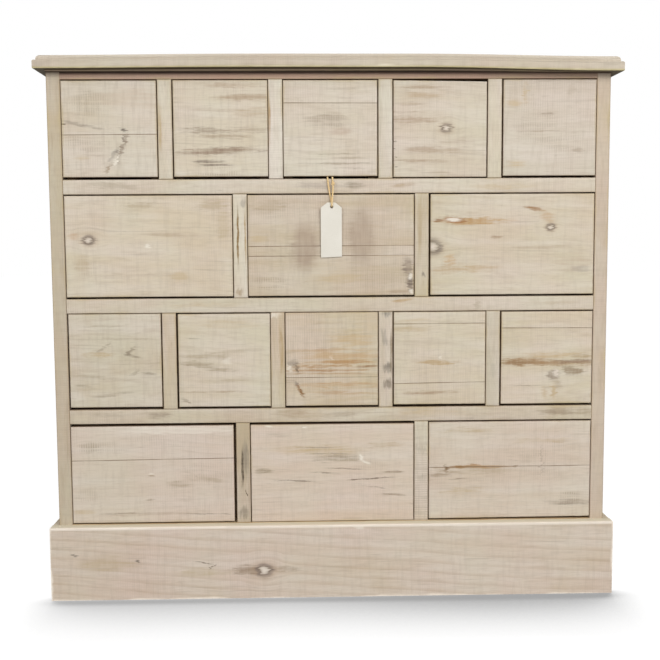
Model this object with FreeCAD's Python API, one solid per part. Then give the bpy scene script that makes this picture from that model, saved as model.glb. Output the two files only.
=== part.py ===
"""Seed storage cabinet: a pine chest of sixteen inset drawers on a plinth.

Millimetres, +Z up.  The drawer fronts face -Y and +X is to the viewer's right.
The origin is on the floor, at the middle of the cabinet's outline.

Inside this file a y value counts backwards from the front plane, the flush
plane of the drawer fronts and of the frame, so what stands forward of it is
negative.  Each solid is moved onto the origin as it is written.
"""
import FreeCAD, Part
import math
import os

V = FreeCAD.Vector

# ---- carcass ---------------------------------------------------------------
body_width = 850.0          # over the two side panels
body_depth = 350.0          # front plane to the outside of the back boards
side_thk = 20.4
divider_thk = 21.7
rail_height = 22.4          # the three rails between the rows
rail_depth = 60.0
top_rail_height = 13.3
shelf_thk = 15.0
bottom_thk = 18.0
back_thk = 9.0
back_rebate = 10.0          # how far the back boards lap the side panels
back_planks = 6
plank_gap = 1.5             # between neighbouring back boards
housing = 6.0               # rails, shelves and bottom let into the side panels
housing_stop = 12.0         # the housings stop short of the panels' front edges
side_foot_gap = 2.0         # the side panels stop short of the floor

# ---- rows of drawers, from the top down: drawers in the row, opening height --
small_row_height = 148.6
large_row_height = 157.9
small_row_drawers = 5
large_row_drawers = 3

# ---- top -------------------------------------------------------------------
top_thk = 21.0
top_overhang = 16.0         # at the front and at both ends
nose_height = 13.0          # the lower member of the moulded edge
nose_round = 2.5            # its upper corner
nose_arris = 1.5            # its lower corner
quirk = 4.5                 # flat step between the nose and the upper member
ovolo = 6.5                 # radius of the upper member
lath_height = 3.0           # strip under the front overhang
lath_projection = 6.0

# ---- plinth ----------------------------------------------------------------
plinth_height = 114.0
floor_step = 0.5            # bottom board's upper face above the plinth
plinth_front_thk = 19.0
plinth_side_thk = 11.0
plinth_round = 1.5
block_size = 40.0           # glue blocks behind the plinth
block_floor_gap = 5.0

# ---- drawers ---------------------------------------------------------------
front_thk = 21.0
front_round = 1.2           # worn edge round the face
drawer_side_thk = 12.0
drawer_back_thk = 12.0
drawer_bottom_thk = 6.0
bottom_groove = 5.0         # the bottom's lap into the sides and the front
bottom_lift = 7.0           # underside of the bottom above the side's lower edge
side_clear = 2.0            # each side of the box to its bay
run_clear = 0.3             # lower edge of the sides over the shelf
box_top_clear = 8.0         # sides below the opening's top
stop_size = 14.0            # stop blocks on the shelves, behind the drawers
stop_depth = 22.7
stop_clear = 0.3

# Gap round each front as its drawer sits in the opening.  The drawers are keyed
# "row_place", rows from the top and places from the left, and the four gaps are
# at the left, the right, the top and the bottom.
hair = 0.6
fine = 0.85
thin = 1.2
slim = 1.5
clear = 1.9
wide = 2.4
broad = 2.9
gaping = 3.5
front_gaps = {
    "1_1": (hair, thin, slim, gaping),
    "1_2": (slim, hair, thin, gaping),
    "1_3": (hair, thin, slim, gaping),
    "1_4": (thin, thin, clear, slim),
    "1_5": (clear, hair, thin, broad),
    "2_1": (fine, fine, slim, wide),
    "2_2": (hair, fine, slim, wide),
    "2_3": (wide, fine, slim, wide),
    "3_1": (clear, slim, hair, gaping),
    "3_2": (wide, hair, slim, broad),
    "3_3": (fine, fine, hair, broad),
    "3_4": (slim, hair, fine, gaping),
    "3_5": (clear, hair, slim, broad),
    "4_1": (hair, gaping, gaping, clear),
    "4_2": (fine, fine, gaping, hair),
    "4_3": (fine, hair, clear, wide),
}
usual_gap = (fine, fine, slim, clear)   # a drawer that the list doesn't name

# ---- fasteners -------------------------------------------------------------
screw_shank_r = 1.75
screw_head_r = 3.5
screw_head_height = 2.2
top_screw_length = 28.0
plinth_screw_length = 27.0
nail_r = 1.0
nail_head_r = 2.2
nail_head_thk = 1.0
nail_length = 30.0
nail_edge = 22.0            # nail to the edge of its plank

# ---- swing tag and its twine ------------------------------------------------
tag_width = 32.0
tag_height = 83.5
tag_thk = 0.7
tag_corner_w = 10.0         # the cut upper corners
tag_corner_h = 8.0
tag_hole_r = 2.5
tag_hole_drop = 6.5         # hole centre below the tag's upper edge
tag_x = 0.3
tag_lean = 2.0              # degrees: its lower end comes to rest near the drawer front
twine_r = 1.1
twine_clear = 0.3
twine_gap = 0.4             # twine to the front plane where it hangs
twine_fold = 5.0            # width of the loop through the tag's hole
tail_length = 14.0          # twine lying in the gap under the drawer
strand_right_x = 2.3
strand_left_x = -5.0
tag_drawer = "1_3"          # the drawer that the twine is caught under
tag_drop = 37.85            # tag's upper edge below the twine's exit

# ---- derived ---------------------------------------------------------------
y_shift = -(body_depth - plinth_front_thk) / 2.0
inner_half = body_width / 2.0 - side_thk
opening_width = 2.0 * inner_half
back_face = body_depth - back_thk
floor_level = plinth_height + floor_step    # upper face of the bottom board
drawer_length = back_face - stop_depth - stop_clear

# Each row: drawers, level of its floor, opening height, depth of the frame above
# it at the front, and how much higher the space behind that frame is.
rows = {}
level = floor_level
for row in (4, 3, 2, 1):
    small = row in (1, 3)
    rows[row] = {
        "count": small_row_drawers if small else large_row_drawers,
        "floor": level,
        "height": small_row_height if small else large_row_height,
        "rise": top_rail_height if row == 1 else rail_height - shelf_thk,
    }
    level += rows[row]["height"] + (top_rail_height if row == 1 else rail_height)
carcass_height = level
top_level = carcass_height + top_thk

os.makedirs("parts", exist_ok=True)
written = []


def write(node, solids):
    """Move a node's solids onto the origin and write them as parts/NODE.step."""
    shape = solids[0] if len(solids) == 1 else Part.makeCompound(solids)
    shape = shape.copy()
    shape.translate(V(0, y_shift, 0))
    assert all(s.isValid() and s.Volume > 0 for s in shape.Solids), node
    shape.exportStep("parts/%s.step" % node)
    written.append((node, len(shape.Solids), shape.Volume))


def board(x0, x1, y0, y1, z0, z1):
    """A plain rectangular board between two corners."""
    return Part.makeBox(x1 - x0, y1 - y0, z1 - z0, V(x0, y0, z0))


def edges_where(shape, test):
    """The straight edges whose two ends both pass the test."""
    return [e for e in shape.Edges if all(test(v.Point) for v in e.Vertexes)]


def near(a, b):
    return abs(a - b) < 1e-6


def screw(tip, direction, length):
    """Countersunk screw: tip is where its head is flush, direction is inwards."""
    head = Part.makeCone(screw_head_r, screw_shank_r, screw_head_height, tip, direction)
    shank = Part.makeCylinder(screw_shank_r, length, tip, direction)
    return head.fuse(shank).removeSplitter().Solids[0]


def nail(x, z):
    """Nail with a flat head set flush in the outside of a back board."""
    into = V(0, -1, 0)
    head = Part.makeCylinder(nail_head_r, nail_head_thk, V(x, body_depth, z), into)
    shank = Part.makeCylinder(nail_r, nail_length, V(x, body_depth, z), into)
    return head.fuse(shank).removeSplitter().Solids[0]


def cut_all(solid, tools):
    """Cut from a solid each tool that reaches it."""
    hits = [t for t in tools if solid.BoundBox.intersect(t.BoundBox)]
    return solid.cut(Part.makeCompound(hits)).Solids[0] if hits else solid


def bays(row):
    """Left and right face of each drawer opening in a row."""
    n = rows[row]["count"]
    w = (opening_width - (n - 1) * divider_thk) / n
    lefts = [-inner_half + i * (w + divider_thk) for i in range(n)]
    return [(x, x + w) for x in lefts]


# ---- fasteners: made first, because each one cuts its own hole ---------------
top_screws = []
for x0, x1 in bays(1):
    tip = V((x0 + x1) / 2.0, rail_depth / 2.0, carcass_height - top_rail_height)
    top_screws.append(screw(tip, V(0, 0, 1), top_screw_length))

bottom_underside = floor_level - bottom_thk
block_mid = (block_floor_gap + bottom_underside) / 2.0
block_xs = (-inner_half, -block_size / 2.0, inner_half - block_size)
plinth_screws = []
for x in block_xs:
    for dz in (-block_size / 2.0, block_size / 2.0):
        tip = V(x + block_size / 2.0, block_size, block_mid + dz)
        plinth_screws.append(screw(tip, V(0, -1, 0), plinth_screw_length + block_size / 2.0))
for side in (-1, 1):
    for y in (body_depth * 0.35, body_depth * 0.7):
        tip = V(side * inner_half, y, block_mid)
        plinth_screws.append(screw(tip, V(side, 0, 0), plinth_screw_length))

back_half = inner_half + back_rebate
plank_width = (2.0 * back_half - (back_planks - 1) * plank_gap) / back_planks
plank_lefts = [-back_half + i * (plank_width + plank_gap) for i in range(back_planks)]
nail_levels = [floor_level - bottom_thk / 2.0]
nail_levels += [rows[row]["floor"] - shelf_thk / 2.0 for row in (2, 1)]
nails = []
for x in plank_lefts:
    for dx in (nail_edge, plank_width - nail_edge):
        nails += [nail(x + dx, z) for z in nail_levels]

# ---- rails, shelves and bottom, let into the side panels ---------------------
def housed_board(y0, y1, z0, z1):
    """A board whose ends go into the side panels, from behind their front edges."""
    x = inner_half + housing
    y = max(y0, housing_stop)
    let_in = board(-x, x, y, y1, z0, z1)
    if y == y0:
        return let_in
    return board(-inner_half, inner_half, y0, y, z0, z1).fuse(let_in).removeSplitter().Solids[0]


rails = {}
shelves = {}
for row in (1, 2, 3):
    z = rows[row]["floor"]
    rails[row] = housed_board(0, rail_depth, z - rail_height, z)
    shelves[row] = housed_board(rail_depth, back_face, z - shelf_thk, z)
top_rail = housed_board(0, rail_depth, carcass_height - top_rail_height, carcass_height)
bottom_board = housed_board(0, back_face, bottom_underside, floor_level)
housed = list(rails.values()) + list(shelves.values()) + [top_rail, bottom_board]

# ---- side panels: housings for all of these, and a rebate for the back -------
for name, side in (("left", -1), ("right", 1)):
    xs = sorted((side * inner_half, side * body_width / 2.0))
    panel = board(xs[0], xs[1], 0, body_depth, side_foot_gap, carcass_height)
    rx = sorted((side * inner_half, side * back_half))
    rebate = board(rx[0], rx[1], back_face, body_depth, side_foot_gap, carcass_height)
    panel = cut_all(panel, housed + [rebate] + plinth_screws)
    write("side_panel_%s" % name, [panel])

for row in (1, 2, 3):
    write("rail_%d" % row, [rails[row]])
    write("shelf_%d" % row, [cut_all(shelves[row], nails)])
write("bottom_board", [cut_all(bottom_board, nails)])
write("top_rail", [cut_all(top_rail, top_screws)])

# ---- dividers: full depth, stepped up behind the rail above them -------------
for row, spec in rows.items():
    z0, z1 = spec["floor"], spec["floor"] + spec["height"]
    z2 = z1 + spec["rise"]
    outline = [(0, z0), (back_face, z0), (back_face, z2), (rail_depth, z2), (rail_depth, z1), (0, z1)]
    dividers = []
    for x0, x1 in bays(row)[:-1]:
        points = [V(x1, y, z) for y, z in outline + outline[:1]]
        face = Part.Face(Part.makePolygon(points))
        dividers.append(face.extrude(V(divider_thk, 0, 0)))
    write("dividers_row_%d" % row, dividers)

# ---- back boards and their nails ----------------------------------------------
planks = []
for x in plank_lefts:
    plank = board(x, x + plank_width, back_face, body_depth, bottom_underside, carcass_height)
    planks.append(cut_all(plank, nails))
write("back_boards", planks)
write("back_nails", nails)

# ---- top: a nose, a quirk and an ovolo round the front and both ends ----------
top_half = body_width / 2.0 + top_overhang
z_nose = carcass_height + nose_height


def on_shown_edges(half, front):
    """Test for a point on the front or end edges of a slab."""
    return lambda p: near(abs(p.x), half) or near(p.y, front)


def rounded(slab, half, front, z, radius):
    """Round the front and end edges of a slab at one level."""
    shown = on_shown_edges(half, front)
    edges = edges_where(slab, lambda p: near(p.z, z) and shown(p))
    edges = [e for e in edges if shown(e.CenterOfMass)]
    return slab.makeFillet(radius, edges)


lower = board(-top_half, top_half, -top_overhang, body_depth, carcass_height, z_nose)
lower = rounded(lower, top_half, -top_overhang, z_nose, nose_round)
lower = rounded(lower, top_half, -top_overhang, carcass_height, nose_arris)
upper_half = top_half - quirk
upper_front = -top_overhang + quirk
upper = board(-upper_half, upper_half, upper_front, body_depth, z_nose, top_level)
upper = rounded(upper, upper_half, upper_front, top_level, ovolo)
top_board = lower.fuse(upper).removeSplitter().Solids[0]
write("top_board", [cut_all(top_board, top_screws)])

lath_half = body_width / 2.0
lath = board(-lath_half, lath_half, -lath_projection, 0, carcass_height - lath_height, carcass_height)
write("top_lath", [lath])

# ---- plinth -------------------------------------------------------------------
plinth_half = body_width / 2.0 + plinth_side_thk
plinth_front = board(-plinth_half, plinth_half, -plinth_front_thk, 0, 0, plinth_height)
crest = edges_where(plinth_front, lambda p: near(p.z, plinth_height) and near(p.y, -plinth_front_thk))
plinth_front = plinth_front.makeFillet(plinth_round, crest)
write("plinth_front", [cut_all(plinth_front, plinth_screws)])
for name, side in (("left", -1), ("right", 1)):
    xs = sorted((side * body_width / 2.0, side * plinth_half))
    plinth_side = board(xs[0], xs[1], 0, body_depth, 0, plinth_height)
    crest = edges_where(plinth_side, lambda p: near(p.z, plinth_height) and near(p.x, side * plinth_half))
    plinth_side = plinth_side.makeFillet(plinth_round, crest)
    write("plinth_side_%s" % name, [cut_all(plinth_side, plinth_screws)])

blocks = [board(x, x + block_size, 0, block_size, block_floor_gap, bottom_underside) for x in block_xs]
for x in (block_xs[0], block_xs[-1]):
    y0 = back_face - block_size
    blocks.append(board(x, x + block_size, y0, back_face, block_floor_gap, bottom_underside))
write("plinth_blocks", [cut_all(b, plinth_screws) for b in blocks])
write("wood_screws", top_screws + plinth_screws)

# ---- drawers ------------------------------------------------------------------
stops = []
for row, spec in rows.items():
    z0, z1 = spec["floor"], spec["floor"] + spec["height"]
    for col, (x0, x1) in enumerate(bays(row), start=1):
        key = "%d_%d" % (row, col)
        left, right, over, under = front_gaps.get(key, usual_gap)
        face = board(x0 + left, x1 - right, 0, front_thk, z0 + under, z1 - over)
        rim = edges_where(face, lambda p: near(p.y, 0))
        face = face.makeFillet(front_round, rim)

        bx0, bx1 = x0 + side_clear, x1 - side_clear
        low, high = z0 + run_clear, z1 - box_top_clear
        ix0, ix1 = bx0 + drawer_side_thk, bx1 - drawer_side_thk
        base = low + bottom_lift
        base_top = base + drawer_bottom_thk
        bottom = board(ix0 - bottom_groove, ix1 + bottom_groove,
                       front_thk - bottom_groove, drawer_length, base, base_top)
        sides = [board(bx0, ix0, front_thk, drawer_length, low, high).cut(bottom).Solids[0],
                 board(ix1, bx1, front_thk, drawer_length, low, high).cut(bottom).Solids[0]]
        back = board(ix0, ix1, drawer_length - drawer_back_thk, drawer_length, base_top, high)
        write("drawer_%s_front" % key, [face.cut(bottom).Solids[0]])
        write("drawer_%s_box" % key, sides + [back, bottom])

        mid = (x0 + x1) / 2.0
        y0 = drawer_length + stop_clear
        stops.append(board(mid - stop_size / 2.0, mid + stop_size / 2.0,
                           y0, back_face, z0, z0 + stop_size))
write("drawer_stops", stops)

# ---- swing tag, hung by a loop of twine ----------------------------------------
gap_under = front_gaps[tag_drawer][3]
exit_z = rows[int(tag_drawer[0])]["floor"] + gap_under / 2.0
strand_y = -(twine_gap + twine_r)
loop_y = strand_y - twine_fold
tag_y = strand_y - twine_fold / 2.0
tag_top = exit_z - tag_drop
hole_z = tag_top - tag_hole_drop
fold_z = hole_z + tag_hole_r - twine_clear - twine_r

# From the right-hand end down the front of the tag, through its hole and up behind.
drop = exit_z - fold_z
route = [
    V(strand_right_x, strand_y, exit_z),
    V(3.3, strand_y - 0.22 * twine_fold, fold_z + 0.78 * drop),
    V(3.0, strand_y - 0.60 * twine_fold, fold_z + 0.53 * drop),
    V(1.9, strand_y - 0.94 * twine_fold, fold_z + 0.28 * drop),
    V(1.2, loop_y, fold_z + 0.12 * drop),
    V(1.0, loop_y, fold_z),
    V(0.8, strand_y, fold_z),
    V(0.3, strand_y, fold_z + 0.13 * drop),
    V(-0.9, strand_y - 0.05, fold_z + 0.31 * drop),
    V(-2.7, strand_y - 0.15, fold_z + 0.55 * drop),
    V(-4.3, strand_y - 0.10, fold_z + 0.79 * drop),
    V(strand_left_x, strand_y, exit_z),
]


def twine(points, radius):
    """A tube along straight runs joined by tangent arcs, and its centre line's length."""
    edges = []
    start = points[0]
    radii = []
    for before, corner, after in zip(points, points[1:], points[2:]):
        u = (before - corner).normalize()
        w = (after - corner).normalize()
        turn = math.pi - u.getAngle(w)
        run = min((corner - before).Length, (after - corner).Length)
        set_back = 0.45 * run
        arc_r = set_back / math.tan(turn / 2.0)
        radii.append(arc_r)
        a = corner + u * set_back
        b = corner + w * set_back
        inward = (u + w).normalize()
        middle = corner + inward * (arc_r / math.cos(turn / 2.0) - arc_r)
        edges.append(Part.LineSegment(start, a).toShape())
        edges.append(Part.Arc(a, middle, b).toShape())
        start = b
    edges.append(Part.LineSegment(start, points[-1]).toShape())
    path = Part.Wire(edges)
    first = points[1] - points[0]
    ring = Part.Wire([Part.makeCircle(radius, points[0], first)])
    tube = path.makePipeShell([ring], True, False)
    print("twine radii", " ".join("%.1f" % r for r in radii))
    print("twine length %.1f, volume %.1f of %.1f"
          % (path.Length, tube.Volume, math.pi * radius ** 2 * path.Length))
    return tube if tube.ShapeType == "Solid" else tube.Solids[0]


write("tag_string", [twine(route, twine_r)])
tails = []
for x in (strand_right_x, strand_left_x):
    start = V(x, -twine_gap + twine_clear, exit_z)
    tails.append(Part.makeCylinder(twine_r, tail_length, start, V(0, 1, 0)))
write("tag_string_tails", tails)

hw = tag_width / 2.0
outline = [(-hw, -tag_height), (hw, -tag_height), (hw, -tag_corner_h), (hw - tag_corner_w, 0),
           (-hw + tag_corner_w, 0), (-hw, -tag_corner_h)]
points = [V(tag_x + x, tag_y - tag_thk / 2.0, tag_top + z) for x, z in outline + outline[:1]]
card = Part.Face(Part.makePolygon(points)).extrude(V(0, tag_thk, 0))
hole = Part.makeCylinder(tag_hole_r, 2.0 * tag_thk, V(1.0, tag_y - tag_thk, hole_z), V(0, 1, 0))
card = card.cut(hole).Solids[0]
card.rotate(V(tag_x, tag_y, hole_z), V(1, 0, 0), tag_lean)
write("swing_tag", [card])

print("nodes", len(written), "solids", sum(n for _, n, _ in written))
print("height %.1f, top %.1f wide" % (top_level, 2 * top_half))
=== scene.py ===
import math
import random

import bmesh
import bpy
from mathutils import Matrix, Vector


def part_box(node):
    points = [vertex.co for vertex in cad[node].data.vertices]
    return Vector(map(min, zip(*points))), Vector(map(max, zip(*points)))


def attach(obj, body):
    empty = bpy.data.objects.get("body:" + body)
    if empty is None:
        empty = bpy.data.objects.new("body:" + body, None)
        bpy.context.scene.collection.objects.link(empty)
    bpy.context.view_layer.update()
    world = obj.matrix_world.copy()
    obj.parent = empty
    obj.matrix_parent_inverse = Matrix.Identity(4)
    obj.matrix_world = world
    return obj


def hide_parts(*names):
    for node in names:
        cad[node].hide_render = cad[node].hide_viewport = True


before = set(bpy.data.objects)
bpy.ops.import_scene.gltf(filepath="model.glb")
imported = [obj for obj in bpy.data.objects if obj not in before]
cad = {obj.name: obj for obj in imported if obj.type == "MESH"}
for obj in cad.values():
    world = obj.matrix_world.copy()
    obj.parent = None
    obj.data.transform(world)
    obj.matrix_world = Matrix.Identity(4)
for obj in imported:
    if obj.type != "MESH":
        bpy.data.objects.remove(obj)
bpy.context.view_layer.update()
MM = 0.001
FACE_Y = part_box("rail_1")[0].y            # the plane of the face frame and the drawer fronts
# settings that many nodes share: an eased range, a colour mix, a place looked up in a mark's own frame
SOFT = {"interpolation_type": "SMOOTHSTEP"}
RGBA = {"data_type": "RGBA"}
LOOK_UP = {"vector_type": "TEXTURE"}


# ---------------------------------------------------------------- camera, floor and light
def look_from():
    """A viewer 1.5 m before the chest, with the eye at 0.55 m, who looks down by 5 degrees."""
    lens = bpy.data.cameras.new("standing_view")
    lens.lens, lens.sensor_width, lens.clip_end = 53.417, 36.0, 60.0
    eye = bpy.data.objects.new("standing_view", lens)
    right = Vector((0.99968313, -0.02443283, -0.0060553))
    down = Vector((-0.00821469, -0.08927192, -0.99597341))
    ahead = Vector((0.02379388, 0.99570757, -0.08944435))
    turn = Matrix((right, -down, -ahead)).transposed().to_4x4()
    eye.matrix_world = Matrix.Translation((-0.03848, -1.6655, 0.55018)) @ turn
    bpy.context.scene.collection.objects.link(eye)
    bpy.context.scene.camera = eye


look_from()
bpy.context.scene.view_settings.view_transform = "Standard"


def linear(hex_colour):
    """An sRGB hex value as the linear colour a socket takes."""
    parts = [int(hex_colour[i:i + 2], 16) / 255 for i in (1, 3, 5)]
    return tuple(c / 12.92 if c <= 0.04045 else ((c + 0.055) / 1.055) ** 2.4 for c in parts) + (1.0,)


def node(tree, kind, ins=(), **settings):
    """Adds one node. ins gives its sockets by name, or in order for those in use. A socket or a node (by
    its first output in use) is linked, a hex colour is turned to linear, and any other value is set."""
    made = tree.nodes.new("ShaderNode" + kind)
    for name, value in settings.items():
        setattr(made, name, value)
    if isinstance(ins, dict):
        given = [(made.inputs[name], value) for name, value in ins.items()]
    else:
        given = list(zip([socket for socket in made.inputs if socket.enabled], ins))
    for socket, value in given:
        if isinstance(value, bpy.types.Node):
            value = next(out for out in value.outputs if out.enabled)
        if isinstance(value, bpy.types.NodeSocket):
            tree.links.new(value, socket)
        else:
            socket.default_value = linear(value) if isinstance(value, str) else value
    return made


def new_material(name):
    """A material with nothing in it yet, and its node tree."""
    mat = bpy.data.materials.new(name)
    mat.use_nodes = True
    mat.node_tree.nodes.clear()
    return mat, mat.node_tree


def surfaced(mat, ins):
    """Closes a material with a surface that has these sockets."""
    skin = node(mat.node_tree, "BsdfPrincipled", ins)
    node(mat.node_tree, "OutputMaterial", {"Surface": skin})
    return mat


def for_the_eye(t):
    """1 where the camera, a reflection or a clear thing looks at the floor or the sky, 0 where they only
    light the chest."""
    path = node(t, "LightPath").outputs
    seen = node(t, "Math", [path["Is Camera Ray"], path["Is Glossy Ray"]], operation="ADD")
    return node(t, "Math", [seen, path["Is Transmission Ray"]], operation="ADD", use_clamp=True)


def lay_floor():
    """A matt studio floor. It looks white, keeps a faint real shadow from the lamps, and has a painted
    shadow before the plinth, worked out from how near the chest is and deepest in the last few centimetres."""
    wide_part, tight_part, darkest = 1.03, 0.62, 0.36
    bpy.ops.object.select_all(action="DESELECT")
    bpy.ops.mesh.primitive_plane_add(size=30, location=(0, 0, 0))
    floor = bpy.context.object
    floor.name = "studio_floor"
    mat, t = new_material("painted_studio_floor")
    wide = node(t, "AmbientOcclusion", {"Distance": 0.2}, samples=12).outputs["AO"]
    tight = node(t, "AmbientOcclusion", {"Distance": 0.03}, samples=12).outputs["AO"]
    shade = node(t, "Math", [wide, wide_part, -wide_part - tight_part], operation="MULTIPLY_ADD")
    shade = node(t, "Math", [tight, tight_part, shade], operation="MULTIPLY_ADD")
    here = node(t, "SeparateXYZ", [node(t, "TexCoord").outputs["Object"]]).outputs
    # the painted shadow shows before the plinth and fades out where the plinth ends
    front = node(t, "MapRange", [here["Y"], -0.165, -0.2, 0.0, 1.0], **SOFT)
    ends = node(t, "Math", [here["X"]], operation="ABSOLUTE")
    ends = node(t, "MapRange", [ends, 0.5, 0.42, 0.0, 1.0], **SOFT)
    reach = node(t, "Math", [front, ends], operation="MULTIPLY")
    # the painted shadow is made deeper right of the plinth's middle
    deeper = node(t, "MapRange", [here["X"], -0.1, 0.25, 1.03, 1.42], **SOFT)
    reach = node(t, "Math", [reach, deeper], operation="MULTIPLY")
    shade = node(t, "Math", [shade, reach, 1.0], operation="MULTIPLY_ADD")
    shade = node(t, "Math", [shade, darkest], operation="MAXIMUM")
    paint = node(t, "CombineXYZ", [shade, shade, shade])
    matt = node(t, "VectorMath", [paint, (0.12, 0.12, 0.12)], operation="MULTIPLY")
    looks = node(t, "AddShader", [node(t, "BsdfDiffuse", [matt]), node(t, "Emission", [paint, 0.95])])
    gives = node(t, "BsdfDiffuse", ["#C8C8C8"])
    node(t, "OutputMaterial", {"Surface": node(t, "MixShader", [for_the_eye(t), gives, looks])})
    floor.data.materials.append(mat)


def hang_lights():
    """A pale room with a large soft box high on the right, a weaker one on the left and a little from
    overhead."""
    world = bpy.data.worlds.new("white_studio")
    bpy.context.scene.world = world
    world.use_nodes = True
    t = world.node_tree
    t.nodes.clear()
    fill = node(t, "Background", ["#FFFFFF", 0.46])
    white = node(t, "Background", ["#FFFFFF", 1.0])
    node(t, "OutputWorld", {"Surface": node(t, "MixShader", [for_the_eye(t), fill, white])})
    for name, place, size, watts in (
        ("soft_box_right", (1.7, -2.6, 2.3), 1.3, 61),
        ("soft_box_left", (-2.0, -2.6, 1.8), 1.5, 28),
        ("overhead_box", (0.0, -1.2, 2.9), 1.6, 7),
    ):
        lamp = bpy.data.lights.new(name, "AREA")
        lamp.shape, lamp.size, lamp.energy = "SQUARE", size, watts
        spot = bpy.data.objects.new(name, lamp)
        spot.location = place
        aim = Vector((0, -0.1, 0.4)) - Vector(place)
        spot.rotation_euler = aim.to_track_quat("-Z", "Y").to_euler()
        bpy.context.scene.collection.objects.link(spot)


lay_floor()
hang_lights()


# ---------------------------------------------------------------- boards
def pick(thing, what, wanted):
    """In edit mode, selects the edges or the faces that pass the test."""
    bpy.ops.mesh.select_mode(type=what)
    bpy.ops.mesh.select_all(action="DESELECT")
    mesh = bmesh.from_edit_mesh(thing.data)
    for part in mesh.edges if what == "EDGE" else mesh.faces:
        if wanted(part):
            part.select = True
    mesh.select_flush_mode()
    bmesh.update_edit_mesh(thing.data)


def leave_edit():
    """Back to object mode with nothing picked."""
    bpy.ops.mesh.select_all(action="DESELECT")
    bpy.ops.object.mode_set(mode="OBJECT")


def worked(thing, kind, **settings):
    """Adds a modifier with its settings and applies it. The thing is the active object."""
    made = thing.modifiers.new(kind, kind)
    for name, value in settings.items():
        setattr(made, name, value)
    bpy.ops.object.modifier_apply(modifier=made.name)


def cut_block(name, low, high, cuts):
    """A block at its place with so many cuts across each axis. It is left in edit mode."""
    size = high - low
    bpy.ops.object.select_all(action="DESELECT")
    bpy.ops.mesh.primitive_cube_add(size=1, location=(high + low) / 2)
    block = bpy.context.object
    block.name = block.data.name = name
    block.scale = size
    bpy.ops.object.transform_apply(location=True, rotation=True, scale=True)
    bpy.ops.object.mode_set(mode="EDIT")
    for axis, count in cuts:
        pick(block, "EDGE", lambda e: abs((e.verts[0].co - e.verts[1].co)[axis]) > 0.9 * size[axis])
        bpy.ops.mesh.subdivide(number_cuts=count)
    return block


def worn_board(name, low, high, step=6.0, wear=0.55, arris=0.7, cut_askew=None, ends_housed=0.0):
    """A sawn board at its place: gridded, its front arrises rubbed back unevenly, its face not quite flat,
    its edges eased. low and high are its corners in metres; step, wear, arris and ends_housed, how far its
    ends go into the sides, in millimetres. cut_askew is which end (-1 left), which edge (1 top) and how
    much it lacks."""
    hollow, touching = 0.25, 1e-5
    low, high = Vector(low), Vector(high)
    low.x += ends_housed * MM
    high.x -= ends_housed * MM
    size, mid = high - low, (high + low) / 2
    board = cut_block(name, low, high, [(axis, max(1, round(size[axis] / MM / step)) - 1) for axis in (0, 2)])
    leave_edit()
    spots = {v.index: v.co for v in board.data.vertices if v.co.y < low.y + touching}
    rim = [i for i, co in spots.items()
           if any(abs(abs(co[axis] - mid[axis]) - size[axis] / 2) < touching for axis in (0, 2))]
    inner = sorted(set(spots) - set(rim))
    for label, members, texture, depth, direction, at_rest in (
        ("rim", rim, "rubbed_edges", wear, "NORMAL", 1.0),
        ("face", inner, "planed_face", hollow, "Y", 0.0),
    ):
        board.vertex_groups.new(name=label).add(members, 1.0, "REPLACE")
        worked(board, "DISPLACE", texture=bpy.data.textures[texture], texture_coords="LOCAL",
               vertex_group=label, direction=direction, mid_level=at_rest, strength=depth * MM)
    worked(board, "BEVEL", width=arris * MM, segments=2, limit_method="ANGLE", angle_limit=math.radians(50))
    if cut_askew:
        end, edge, short = cut_askew
        askew = board.vertex_groups.new(name="askew")
        for v in board.data.vertices:
            along = 0.5 + end * (v.co.x - mid.x) / size.x
            up = 0.5 + edge * (v.co.z - mid.z) / size.z
            askew.add([v.index], max(0.0, min(1.0, along)) * max(0.0, min(1.0, up)), "REPLACE")
        worked(board, "DISPLACE", direction="Z", mid_level=0.0, vertex_group="askew",
               strength=-edge * short * MM)
    bpy.ops.object.shade_smooth_by_angle(angle=math.radians(32))
    board.vertex_groups.clear()
    return board


def let_in(board, behind, ways, length):
    """Draws a board out into the housings that hold it: what faces one of the ways, behind a plane."""
    bpy.ops.object.mode_set(mode="EDIT")
    bpy.ops.mesh.select_all(action="SELECT")
    bpy.ops.mesh.bisect(plane_co=(0, behind, 0), plane_no=(0, 1, 0))
    for way in map(Vector, ways):
        pick(board, "FACE", lambda f: f.normal.dot(way) > 0.99 and f.calc_center_median().y > behind)
        bpy.ops.mesh.extrude_region_move(TRANSFORM_OT_translate={"value": tuple(way * length)})
    leave_edit()


for label, grain_size, depth in (("rubbed_edges", 11, 3), ("planed_face", 45, 2)):
    hand = bpy.data.textures.new(label, "CLOUDS")
    hand.noise_scale, hand.noise_depth = grain_size * MM, depth


# ---------------------------------------------------------------- limed pine
LIME, BARE, EDGE = "#DCD3C9", "#A88C6A", "#BFAF86"
BROWN, GREY, ORANGE, PALE, OCHRE = "#9B8167", "#8E8377", "#B98F5C", "#E6DED0", "#BFA983"
# near black, laid on as painted shade under the top, on the lath and on the top rail
PAINTED_SHADE_DARK = "#30221A"
TURN = {"x": (0, 0, 0), "z": (0, math.radians(90), 0), "y": (0, 0, math.radians(90))}
WAVE_STEP = 0.314                         # a wave's scale for bands or rings one metre apart
SAW_PITCH = 3.6                           # millimetres
KNOT_REACH = 4.5                          # how far the grain bows round a knot, in its radii
# where between a knot's reach (0) and its middle (1), which colour and how much of it
RING_STOPS = ((0.45, OCHRE, 0.0), (1.0, "#DACFC3", 0.9), (0.62, BROWN, 0.25), (0.71, "#85766A", 0.8),
              (0.80, "#6C5D50", 0.9), (0.87, "#C0B2A2", 0.75), (0.93, "#D2C6B9", 0.85))


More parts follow.
